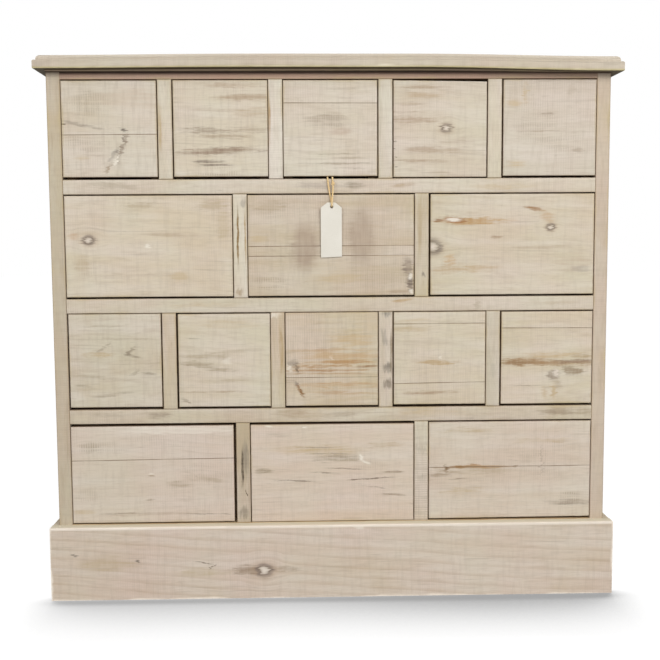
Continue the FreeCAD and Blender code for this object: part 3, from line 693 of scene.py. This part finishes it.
for key, looks in FRONTS.items():
    low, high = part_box(f"drawer_{key}_front")
    front = worn_board(f"drawer_front_{key}", low, high, step=4.0, arris=0.9, cut_askew=ASKEW.get(key))
    # the brown behind each front is partly painted shade, so that the gaps round the drawers read dark
    dress(front, limed_pine("front_" + key, low, high, inside="#785C44", **looks))
    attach(front, "drawer_" + key)
    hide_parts(f"drawer_{key}_front")


# ---------------------------------------------------------------- face frame
# dark unlimed wood behind the frame's front, partly painted shade so that the gaps read dark
UNLIMED_AND_GAP_SHADE = "#59412C"                       # behind the frame's front
END_HOUSING, DIVIDER_BEHIND = 6.0, 60.0   # how deep a rail's ends go in, and where a divider's tenon begins
RAILS = {
    "rail_1": dict(
        tone="#D1C6B3", rub=0.5, sawn=0.5,
        marks=[
            (-20, 636, 40, 6, 0, "#A89C8F", 0.6, 0.6), (34, 636, 16, 5, 0, "#978A78", 0.7, 0.8),
            (-330, 637, 40, 5, -6, "#A99C88", 0.5, 0.8), (110, 636, 22, 4, 4, "#A48A66", 0.5, 0.6),
            (250, 633, 60, 4, 0, OCHRE, 0.4, 0.8)]),
    "rail_2": dict(
        tone="#CFC4B0", rub=0.4, sawn=0.5,
        marks=[
            (112, 461, 22, 3, 10, "#B08E5E", 0.6, 0.6), (-200, 455, 60, 4, 0, OCHRE, 0.4, 0.8),
            (225, 453, 5, 9, 0, "#B7AA96", 0.7, 0.4), (330, 455, 60, 4, 0, "#B7A78C", 0.4, 0.8)]),
    "rail_3": dict(
        tone="#CBBEA8", rub=1.1, sawn=0.7,
        marks=[
            (-272, 285, 24, 5, 0, "#958675", 0.6, 0.9), (-340, 286, 30, 6, 0, "#A69A86", 0.33, 0.8),
            (12, 285, 34, 6, 0, "#9A8B78", 0.45, 0.8), (-62, 287, 26, 8, 0, "#A0876A", 0.39, 0.8),
            (360, 285, 44, 6, 0, "#8D7C68", 0.52, 0.7), (395, 286, 14, 7, 0, "#A08D74", 0.39, 0.6),
            (160, 286, 60, 5, 0, OCHRE, 0.4, 0.8)]),
}
for name, looks in RAILS.items():
    low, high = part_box(name)
    rail = worn_board("face_" + name, low, high, wear=0.4, ends_housed=END_HOUSING)
    let_in(rail, low.y + 2 * END_HOUSING * MM, ((1, 0, 0), (-1, 0, 0)), END_HOUSING * MM)
    dress(rail, limed_pine(name, low, high, spacing=6, inside=UNLIMED_AND_GAP_SHADE, **looks))
    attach(rail, "carcass")
    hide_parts(name)

OPENING, POST = 809.2, 21.7               # between the side panels, and a divider's thickness
# for each row: how far a divider's tenon rises into the rail above, and the dividers from the left
DIVIDERS = {
    "row_1": (13.3, [
        dict(tone="#D5CCB9", marks=[(-257, 725, 3, 40, 0, "#B39A70", 0.7, 0.7)]),
        dict(tone="#DED8C9", marks=[(-93, 735, 3, 50, 0, "#A88458", 0.8, 0.6)]),
        dict(tone="#D2CAB8"),
        dict(tone="#D2C8B4"),
    ]),
    "row_2": (7.4, [
        dict(
            tone="#D9CFBD",
            marks=[
                (-142, 560, 1.6, 50, 0, "#8A7048", 0.95, 0.3), (-140, 475, 8, 6, 0, "#A18A6C", 0.7, 0.6),
                (-134, 610, 6, 8, 0, GREY, 0.5, 0.6), (-131, 560, 1.5, 45, 0, "#A88A5C", 0.7, 0.5)]),
        dict(
            tone="#C9BEA7", rub=0.9,
            marks=[
                (141, 500, 3, 5, 0, "#8B8277", 0.8, 0.3), (136, 590, 5, 60, 0, "#A9936F", 0.5, 0.8)]),
    ]),
    "row_3": (7.4, [
        dict(tone="#C8B99F"),
        dict(
            tone="#C8B89B", rub=0.8,
            marks=[
                (-78, 390, 4, 40, 0, "#A98C60", 0.6, 0.7), (-88, 440, 10, 5, 0, PALE, 0.6, 0.4)]),
        dict(
            tone="#CFC3B0",
            marks=[
                (86, 443, 9, 10, 0, "#8E877C", 0.9, 0.5), (80, 405, 5, 16, 12, "#958C80", 0.7, 0.6),
                (87, 356, 9, 8, 0, "#8C8376", 0.85, 0.5), (86, 331, 8, 8, 0, "#8C8071", 0.85, 0.5),
                (92, 380, 2, 40, 0, "#8A7B62", 0.7, 0.6)]),
        dict(tone="#C5BCA6", marks=[(250, 350, 5, 14, 0, "#A9A192", 0.5, 0.6)]),
    ]),
    "row_4": (7.4, [
        dict(
            tone="#BDAD93", rub=0.9,
            marks=[
                (-140, 202, 2.2, 34, 0, "#5D5142", 1.0, 0.25), (-134, 215, 6, 30, 0, "#8B8172", 0.7, 0.6),
                (-134, 161, 2.5, 2.5, 0, "#5D5142", 0.9, 0.2), (-138, 130, 10, 10, 0, "#8F8474", 0.7, 0.7)]),
        dict(
            tone="#D3C8B5", sawn=1.4,
            marks=[
                (140, 226, 7, 7, 0, "#A59A87", 0.6, 0.8), (140, 180, 7, 8, 0, "#A59A87", 0.5, 0.8)]),
    ]),
}
for row, (rise, posts) in DIVIDERS.items():
    bay = (OPENING - len(posts) * POST) / (len(posts) + 1)
    base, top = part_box("dividers_" + row)
    for count, looks in enumerate(posts, 1):
        x0 = count * (bay + POST) - POST - OPENING / 2
        low = Vector((x0 * MM, base.y, base.z))
        high = Vector(((x0 + POST) * MM, top.y, top.z - rise * MM))
        post = worn_board(f"divider_{row}_{count}", low, high, wear=0.45)
        let_in(post, low.y + DIVIDER_BEHIND * MM, ((0, 0, 1),), rise * MM)
        dress(post, limed_pine(f"divider_{row}_{count}", low, high, grain="z", spacing=5, heart=(0.04, 0.05),
                               inside=UNLIMED_AND_GAP_SHADE, **looks))
        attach(post, "carcass")
        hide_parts("dividers_" + row)


# ---------------------------------------------------------------- top, sides and plinth
def warped(name, new_name, bow):
    """A copy of a CAD board that has moved as it dried. bow is (x, rise of the top face, rise of the lower
    face) along the board's front, in millimetres. The back boards held the top flat at the back, so the
    bend dies out over 320 mm towards them. Where each point lay before is kept as "flat", for the
    finish."""
    cut_every, cut_end, dies_over = 16, 416, 320
    low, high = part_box(name)
    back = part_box("top_board")[1].y
    piece = cad[name].copy()
    piece.data = cad[name].data.copy()
    piece.name = piece.data.name = new_name
    bpy.context.scene.collection.objects.link(piece)
    bpy.ops.object.select_all(action="DESELECT")
    piece.select_set(True)
    bpy.context.view_layer.objects.active = piece
    bpy.ops.object.mode_set(mode="EDIT")
    bpy.ops.mesh.select_all(action="SELECT")
    bpy.ops.mesh.remove_doubles(threshold=0.02 * MM)
    bpy.ops.mesh.tris_convert_to_quads()
    for cut in range(-cut_end, cut_end + 1, cut_every):
        bpy.ops.mesh.select_all(action="SELECT")
        bpy.ops.mesh.bisect(plane_co=(cut * MM, 0, 0), plane_no=(1, 0, 0))
    leave_edit()
    flat = piece.data.attributes.new("flat", "FLOAT_VECTOR", "POINT")
    for v in piece.data.vertices:         # a loop of its own: weights added to a group would move this data
        flat.data[v.index].vector = v.co
    lowest = min(min(up, down) for _, up, down in bow)
    reach = max(max(up, down) for _, up, down in bow) - lowest
    group = piece.vertex_groups.new(name="bow")
    for v in piece.data.vertices:
        x, height = v.co.x / MM, (v.co.z - low.z) / (high.z - low.z)
        a, b = next(pair for pair in zip(bow, bow[1:]) if x <= pair[1][0] + 1 or pair[1] == bow[-1])
        s = (x - a[0]) / (b[0] - a[0])
        s = s * s * (3 - 2 * s)
        up, down = (a[face] + (b[face] - a[face]) * s for face in (1, 2))
        rise = (height * up + (1 - height) * down) * min(1.0, (back - v.co.y) / (dies_over * MM))
        group.add([v.index], (rise - lowest) / reach, "REPLACE")
    # a vertex group holds weights from 0 to 1, so all points go down first and each then up by its own share
    worked(piece, "DISPLACE", direction="Z", mid_level=0.0, strength=lowest * MM)
    worked(piece, "DISPLACE", direction="Z", mid_level=0.0, vertex_group="bow", strength=reach * MM)
    piece.vertex_groups.clear()
    bpy.ops.object.shade_smooth_by_angle(angle=math.radians(25))
    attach(piece, "carcass")
    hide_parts(name)
    return piece


# the top's overhang keeps the panels' upper ends dark
PANEL_SHADE = [("Z", 807, 796, 0.5, "#6A4A3B")]
# what each board that keeps its shape, or is only bent, shows
CAD_BOARDS = {
    "top_board": dict(
        # its pale edge colour is a painted highlight along the arrises
        grain="x", face="z", seam_across="Y", tone="#C2B7A6", lime="#CBC2B4", edge_colour="#DED4C3",
        dark_edge=0.1, edge=1.9, rub=0.4, rings=0.5, spacing=9, seams=[(-60, 0), (62, 0)],
        knots=[(-250, 20, 11), (190, -110, 8), (330, 110, 10)],
        # painted highlight on the upper moulding, a worn yellow-green lower arris, painted shade on the
        # underside
        painted_light_and_wear=[
            ("Z", 823, 820.5, 0.25, "#E4D9C8"), ("Z", 809.6, 812.4, 0.6, "#B3A768"),
            ("Z", 808.2, 808.9, 0.85, PAINTED_SHADE_DARK)]),
    "top_lath": dict(
        # painted shade: dark bands at the lath's upper and lower edges, under the top board
        grain="x", tone="#B8A38D", lime="#BEAC9A", rub=0.6,
        painted_light_and_wear=[
            ("Z", 808, 806.8, 0.8, PAINTED_SHADE_DARK), ("Z", 805.2, 806.8, 0.97, PAINTED_SHADE_DARK)]),
    "top_rail": dict(
        # painted shade from the top's overhang: the darker, pinker tone and the dark bands below the top
        grain="x", tone="#C0A28F", lime="#C6AE9D", rub=0.6, sawn=0.8, spacing=6, inside=UNLIMED_AND_GAP_SHADE,
        painted_light_and_wear=[
            ("Z", 803.0, 792.5, 0.5, "#73503F"), ("Z", 804.2, 799.5, 0.95, PAINTED_SHADE_DARK)]),
    "side_panel_left": dict(
        grain="z", face="x", seam_across="Y", tone="#C3B69F", lime="#CCC5B7", rub=1.0, rings=0.6, spacing=8,
        seams=[(-52, 0), (66, 0)], knots=[(-110, 560, 9), (10, 300, 12), (120, 640, 8)],
        painted_light_and_wear=PANEL_SHADE, marks=[(-110, 200, 8, 40, 0, BROWN, 0.5, 0.8)]),
    "side_panel_right": dict(
        grain="z", face="x", seam_across="Y", tone="#CABAA7", lime="#CDC1B3", rub=0.9, rings=0.6, spacing=8,
        seams=[(-46, 0), (72, 0)], knots=[(-100, 330, 10), (20, 610, 12), (120, 240, 8)],
        painted_light_and_wear=PANEL_SHADE, marks=[(-100, 650, 8, 40, 0, BROWN, 0.5, 0.8)]),
    "plinth_front": dict(
        # its pale edge colour is a painted highlight along the arrises
        grain="x", tone="#D3C3B3", edge_colour="#F0E5D6", dark_edge=0.0, edge=1.9, rub=0.5, sawn=0.4,
        rings=1.6, spacing=14, heart=(0.05, 0.13), slant=(0.9, 4.6), knots=[(-107, 44, 8)],
        lines=[(-187, 50, 12, 30, 0.7), (-200, 57, 22, -12, 0.6)],
        # a painted highlight along the plinth's top, toned down towards the back of its ledge
        painted_light_and_wear=[
            ("Z", 110.9, 109.7, 0.6, "#F0E6D8"), ("Y", -177, -183.5, 0.75, "#CBC2A8")],
        marks=[
            (-132, 45, 26, 9, 0, "#8F7B66", 0.7, 0.4), (-80, 46, 30, 5, -3, "#94816B", 0.5, 0.5),
            (-350, 58, 50, 15, 0, "#B5A07E", 0.5, 0.6), (-205, 42, 40, 8, 0, "#B7A584", 0.5, 0.6),
            (-107, 44, 8.5, 7.5, 0, "#F0E6DA", 1.0, 0.05), (-398, 71, 3.5, 3, 0, "#8A8175", 0.9, 0.2),
            (-301, 61, 3.5, 3, 0, "#7E7468", 0.9, 0.2), (42, 110, 9, 4, 0, PALE, 0.6, 0.3)]),
    "plinth_side_left": dict(
        grain="y", face="x", tone="#CFC0AA", rings=0.9, spacing=10, knots=[(20, 60, 8)]),
    "plinth_side_right": dict(
        grain="y", face="x", tone="#D2C5B0", rings=0.9, spacing=10, knots=[(-60, 50, 8)]),
}
# the top has crowned; its right-hand end droops and was left thicker
BOWS = {
    "top_board": ("warped_top", [(-441, 0.2, 0.2), (-130, 2.0, 1.6), (120, 1.6, 1.0), (441, -2.8, -5.0)]),
    "top_lath": ("warped_lath", [(-441, 0.0, 0.0), (-130, 1.2, 0.0), (120, 0.9, 0.0), (441, -2.6, -3.0)]),
}
for name, looks in CAD_BOARDS.items():
    board = warped(name, *BOWS[name]) if name in BOWS else cad[name]
    dress(board, limed_pine(name, *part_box(name), bent=name in BOWS, **looks))


# ---------------------------------------------------------------- the inside: bare pine
STRAW, STRAW_AGED = "#D8BE94", "#CDB187"


def bare_pine(name, along, tone=STRAW):
    """Planed softwood without a finish. The eye sees pale straw wood with honey growth lines, a few brown
    knots and dust in the grain. Faces across a board's length show end grain. along is the grain's axis on
    the wide faces."""
    ring_spacing, knots_every = 6.0, 0.16     # millimetres; metres
    low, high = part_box(name)
    mid = (low + high) / 2
    mat, t = new_material("bare_pine_" + name)
    here = node(t, "TexCoord").outputs
    wander = node(t, "TexNoise", {"Vector": here["Object"], "Scale": 5.0, "Detail": 2.0}).outputs["Color"]
    flow = node(t, "VectorMath", [wander, (0.014,) * 3, here["Object"]], operation="MULTIPLY_ADD")
    lain = node(t, "Mapping", [flow, mid, TURN[along]], **LOOK_UP)
    if along == "y":                      # a drawer box: its sides run back, its front and back run across
        facing = node(t, "VectorMath", [here["Normal"]], operation="ABSOLUTE")
        sideways = node(t, "SeparateXYZ", [facing]).outputs["X"]
        sideways = node(t, "Math", [sideways, 0.5], operation="GREATER_THAN")
        crossways = node(t, "Mapping", [flow, mid], **LOOK_UP)
        lain = node(t, "Mix", [sideways, crossways, lain], data_type="VECTOR")
    fibre = drawn_noise(t, random.Random(name), lain, (20, 700, 700), 4.0, 0.6)
    year = year_rings(t, lain, (0, 0.045, -0.03), (0, 0.02, 0.03), ring_spacing, 5.0, 3.0, 0.35)
    cloud = node(t, "TexNoise", {"Vector": here["Object"], "Scale": 9.0, "Detail": 4.0, "Roughness": 0.6})
    colour = node(t, "Mix", [cloud, tone, "#E2CDA8"], **RGBA)
    colour, year = laid(t, colour, "#B58E5C", year, 0.35, 0.97, 0.0, 0.75)
    colour, _ = laid(t, colour, "#9A7A4E", fibre, 0.3, 0.6, 0.35, 0.0, easing={})
    cells = node(t, "Mapping", {"Vector": lain, "Scale": (0.45, 1, 1)})
    knot = node(t, "TexVoronoi", {"Vector": cells, "Scale": 1 / knots_every, "Randomness": 1.0}, feature="F1")
    colour, _ = laid(t, colour, "#7A5230", knot, 0.03, 0.085, 0.9, 0.0)
    relief = node(t, "Math", [fibre, 0.7, year], operation="MULTIPLY_ADD")
    bump = node(t, "Bump", {"Height": relief, "Strength": 0.5, "Distance": 0.2 * MM})
    return surfaced(mat, {"Base Color": colour, "Normal": bump, "Roughness": 0.66,
                          "Specular IOR Level": 0.35})


for name in cad:
    if name.endswith("_box"):
        dress(cad[name], bare_pine(name, "y"))
for name in ("shelf_1", "shelf_2", "shelf_3", "bottom_board", "drawer_stops"):
    dress(cad[name], bare_pine(name, "x"))
dress(cad["plinth_blocks"], bare_pine("plinth_blocks", "z"))
dress(cad["back_boards"], bare_pine("back_boards", "z", STRAW_AGED))


# ---------------------------------------------------------------- steel, card and twine
def zinc_steel():
    """Bright-zinced wire nails and screws, dulled by a year in a shed: the eye sees soft grey metal with a
    brown bloom."""
    mat, t = new_material("zinc_plated_steel")
    here = node(t, "TexCoord").outputs["Object"]
    bloom = node(t, "TexNoise", {"Vector": here, "Scale": 900.0, "Detail": 3.0})
    colour = node(t, "Mix", [bloom, "#8C8A86", "#A79C8C"], **RGBA)
    rough = node(t, "MapRange", [bloom, 0.3, 0.7, 0.32, 0.55])
    return surfaced(mat, {"Base Color": colour, "Metallic": 1.0, "Roughness": rough})


def cut_card():
    """Uncoated card, die cut. The eye sees a warm off-white sheet with a felt tooth."""
    mat, t = new_material("uncoated_card")
    here = node(t, "TexCoord").outputs["Object"]
    felt = node(t, "TexNoise", {"Vector": here, "Scale": 1500.0, "Detail": 3.0})
    shade = node(t, "TexNoise", {"Vector": here, "Scale": 30.0, "Detail": 2.0})
    tint = node(t, "Math", [felt, shade], operation="MULTIPLY")
    tint = node(t, "MapRange", [tint, 0.1, 0.45, 0.0, 1.0])
    colour = node(t, "Mix", [tint, "#DBD6C9", "#E7E2D8"], **RGBA)
    bump = node(t, "Bump", {"Height": felt, "Strength": 0.3, "Distance": 0.08 * MM})
    return surfaced(mat, {"Base Color": colour, "Normal": bump, "Roughness": 0.85,
                          "Specular IOR Level": 0.25})


def jute_twine():
    """Undyed cotton-jute twine, two plies: the eye sees warm gold strands, matt and finely haired."""
    mat, t = new_material("two_ply_twine")
    here = node(t, "TexCoord").outputs["Object"]
    hairs = node(t, "TexNoise", {"Vector": here, "Scale": 1400.0, "Detail": 3.0, "Distortion": 1.0})
    tint = node(t, "MapRange", [hairs, 0.32, 0.68, 0.0, 1.0])
    colour = node(t, "Mix", [tint, "#D9B272", "#F8E3B4"], **RGBA)
    bump = node(t, "Bump", {"Height": hairs, "Strength": 0.7, "Distance": 0.2 * MM})
    return surfaced(mat, {"Base Color": colour, "Normal": bump, "Roughness": 0.8, "Sheen Weight": 0.3,
                          "Specular IOR Level": 0.3})


steel, card, twine = zinc_steel(), cut_card(), jute_twine()
for name in ("back_nails", "wood_screws"):
    dress(cad[name], steel)
dress(cad["tag_string_tails"], twine)

# the tag, in millimetres; its route is the one that part.py lays its twine along
TAG_TOP, TAG_LIES = 610, (4.35, 3.65)         # height of its upper edge; its faces before the face frame
HOLE_X, HOLE_BELOW, HOLE_RADIUS = 1.0, 6.5, 2.5
CORNER_IN, CORNER_CUT = 10, (8, 10)           # where a cut corner begins, and the way its cut faces
FOOT_CUT = (1.4, 0, -32)                      # the lower edge isn't quite square
LEAN = -2.0                                   # degrees: its lower end is nearer the drawer
ROUTE = [(2.3, -1.5, 647.85), (3.3, -2.6, 638.35), (3.0, -4.5, 627.5), (1.9, -6.2, 616.7),
         (1.2, -6.5, 609.8), (1.0, -6.5, 604.6), (0.8, -1.5, 604.6), (0.3, -1.5, 610.2),
         (-0.9, -1.55, 618.0), (-2.7, -1.65, 628.4), (-4.3, -1.6, 638.75), (-5.0, -1.5, 647.85)]
PLY_RADIUS, PLY_OFF, PLY_TURN = 0.76, 0.66, 5.5   # a ply, how far it lies off the middle, one turn's length
KNOT_SITS = (3.3, FACE_Y / MM - 3.6, 638.9)
KNOT_RADIUS, END_RADIUS = 0.72, 0.5


def make_tag():
    """The card: cut corners, a punched hole, a leaning sheet."""
    low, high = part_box("swing_tag")
    high.z = TAG_TOP * MM
    low.y, high.y = (FACE_Y - off * MM for off in TAG_LIES)
    size, mid = high - low, (high + low) / 2
    hole_at = Vector((HOLE_X * MM, mid.y, high.z - HOLE_BELOW * MM))
    tag = cut_block("tag_card", low, high, ((2, 20), (0, 8)))
    corner, (across, up) = size.x / 2 - CORNER_IN * MM, CORNER_CUT
    for x, z, way in ((mid.x + corner, high.z, (across, 0, up)), (mid.x - corner, high.z, (-across, 0, up)),
                      (low.x, low.z, FOOT_CUT)):
        bpy.ops.mesh.select_all(action="SELECT")
        bpy.ops.mesh.bisect(plane_co=(x, mid.y, z), plane_no=Vector(way).normalized(), use_fill=True,
                            clear_outer=True)
    leave_edit()
    bpy.ops.object.select_all(action="DESELECT")
    bpy.ops.mesh.primitive_cylinder_add(vertices=28, radius=HOLE_RADIUS * MM, depth=4 * MM, location=hole_at,
                                        rotation=(math.radians(90), 0, 0))
    punch = bpy.context.object
    bpy.context.view_layer.objects.active = tag
    worked(tag, "BOOLEAN", operation="DIFFERENCE", object=punch, solver="EXACT")
    bpy.data.objects.remove(punch)
    worked(tag, "BEVEL", width=0.12 * MM, segments=1, limit_method="ANGLE", angle_limit=math.radians(60))
    bpy.context.view_layer.objects.active = tag
    bpy.ops.object.mode_set(mode="EDIT")
    bpy.ops.mesh.select_all(action="SELECT")
    bpy.ops.transform.rotate(value=math.radians(LEAN), orient_axis="X", center_override=hole_at)
    bpy.ops.object.mode_set(mode="OBJECT")
    bpy.ops.object.select_all(action="DESELECT")
    tag.select_set(True)
    bpy.ops.object.shade_smooth_by_angle(angle=math.radians(30))
    return tag


def strung(name, kind, points):
    """A curve object through the points, and the curve and its one spline, which still take settings."""
    line = bpy.data.curves.new(name, "CURVE")
    line.dimensions = "3D"
    run = line.splines.new(kind)
    run.points.add(len(points) - 1)
    for place, p in zip(run.points, points):
        place.co = (*p, 1.0)
    made = bpy.data.objects.new(name, line)
    bpy.context.scene.collection.objects.link(made)
    return made, line, run


def lay_ply(name, points, radius):
    """A round strand through the points, its radius in millimetres."""
    made, line, _ = strung(name, "POLY", points)
    line.bevel_depth, line.bevel_resolution, line.use_fill_caps = radius * MM, 2, True
    return made


def joined(name, strands):
    """The strands as one mesh piece."""
    bpy.ops.object.select_all(action="DESELECT")
    for made in strands:
        made.select_set(True)
    bpy.context.view_layer.objects.active = strands[0]
    bpy.ops.object.convert(target="MESH")
    if len(strands) > 1:
        bpy.ops.object.join()
    piece = bpy.context.object
    piece.name = piece.data.name = name
    bpy.ops.object.shade_smooth_by_angle(angle=math.radians(60))
    return piece


def lay_twine():
    """The loop of twine: up from the tag's hole behind and in front, its ends caught under the drawer."""
    route = [Vector((x, FACE_Y / MM + y, z)) * MM for x, y, z in ROUTE]
    guide, line, run = strung("twine_route", "NURBS", route)
    line.resolution_u = 20
    run.order_u, run.use_endpoint_u = 3, True
    bpy.context.view_layer.update()
    read = bpy.data.meshes.new_from_object(guide.evaluated_get(bpy.context.evaluated_depsgraph_get()))
    path = [v.co.copy() for v in read.vertices]
    bpy.data.objects.remove(guide)
    # two plies wound round that line
    ahead = (path[1] - path[0]).normalized()
    aside = ahead.orthogonal().normalized()
    wound, done = ([], []), 0.0
    for count, p in enumerate(path):
        following, last = path[min(count + 1, len(path) - 1)], path[max(count - 1, 0)]
        ahead = (following - last).normalized()
        aside = (aside - aside.dot(ahead) * ahead).normalized()
        other = ahead.cross(aside)
        done += (p - last).length
        for ply in (0, 1):
            angle = done / (PLY_TURN * MM) * math.tau + ply * math.pi
            wound[ply].append(p + (aside * math.cos(angle) + other * math.sin(angle)) * PLY_OFF * MM)
    plies = [lay_ply(f"ply_{ply}", points, PLY_RADIUS) for ply, points in enumerate(wound)]
    return joined("tag_twine", plies), path


def tie_knot():
    """An overhand knot drawn tight round the right-hand strand, with two short ends."""
    middle = Vector(KNOT_SITS)
    turns = []
    for a in (math.tau * step / 60 for step in range(61)):
        x, z, y = math.sin(a) + 2 * math.sin(2 * a), math.cos(a) - 2 * math.cos(2 * a), -math.sin(3 * a)
        turns.append((middle + Vector((0.62 * x, 0.75 * y, 0.55 * z))) * MM)
    strands = [lay_ply("knot", turns, KNOT_RADIUS)]
    for count, (side, drop) in enumerate(((1, 2.6), (-1, 3.4))):
        run = [(side * (0.8 + 0.5 * k), -0.9 + 0.12 * k, -0.4 * k - 0.02 * drop * k * k) for k in range(5)]
        strands.append(lay_ply(f"end_{count}", [(middle + Vector(off)) * MM for off in run], END_RADIUS))
    return joined("twine_knot", strands)


tag = make_tag()
dress(tag, card)
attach(tag, "tag")
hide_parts("swing_tag")

cord, path = lay_twine()
dress(cord, twine)
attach(cord, "tag")
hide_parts("tag_string")
knot = tie_knot()
dress(knot, twine)
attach(knot, "tag")
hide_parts("tag_string")
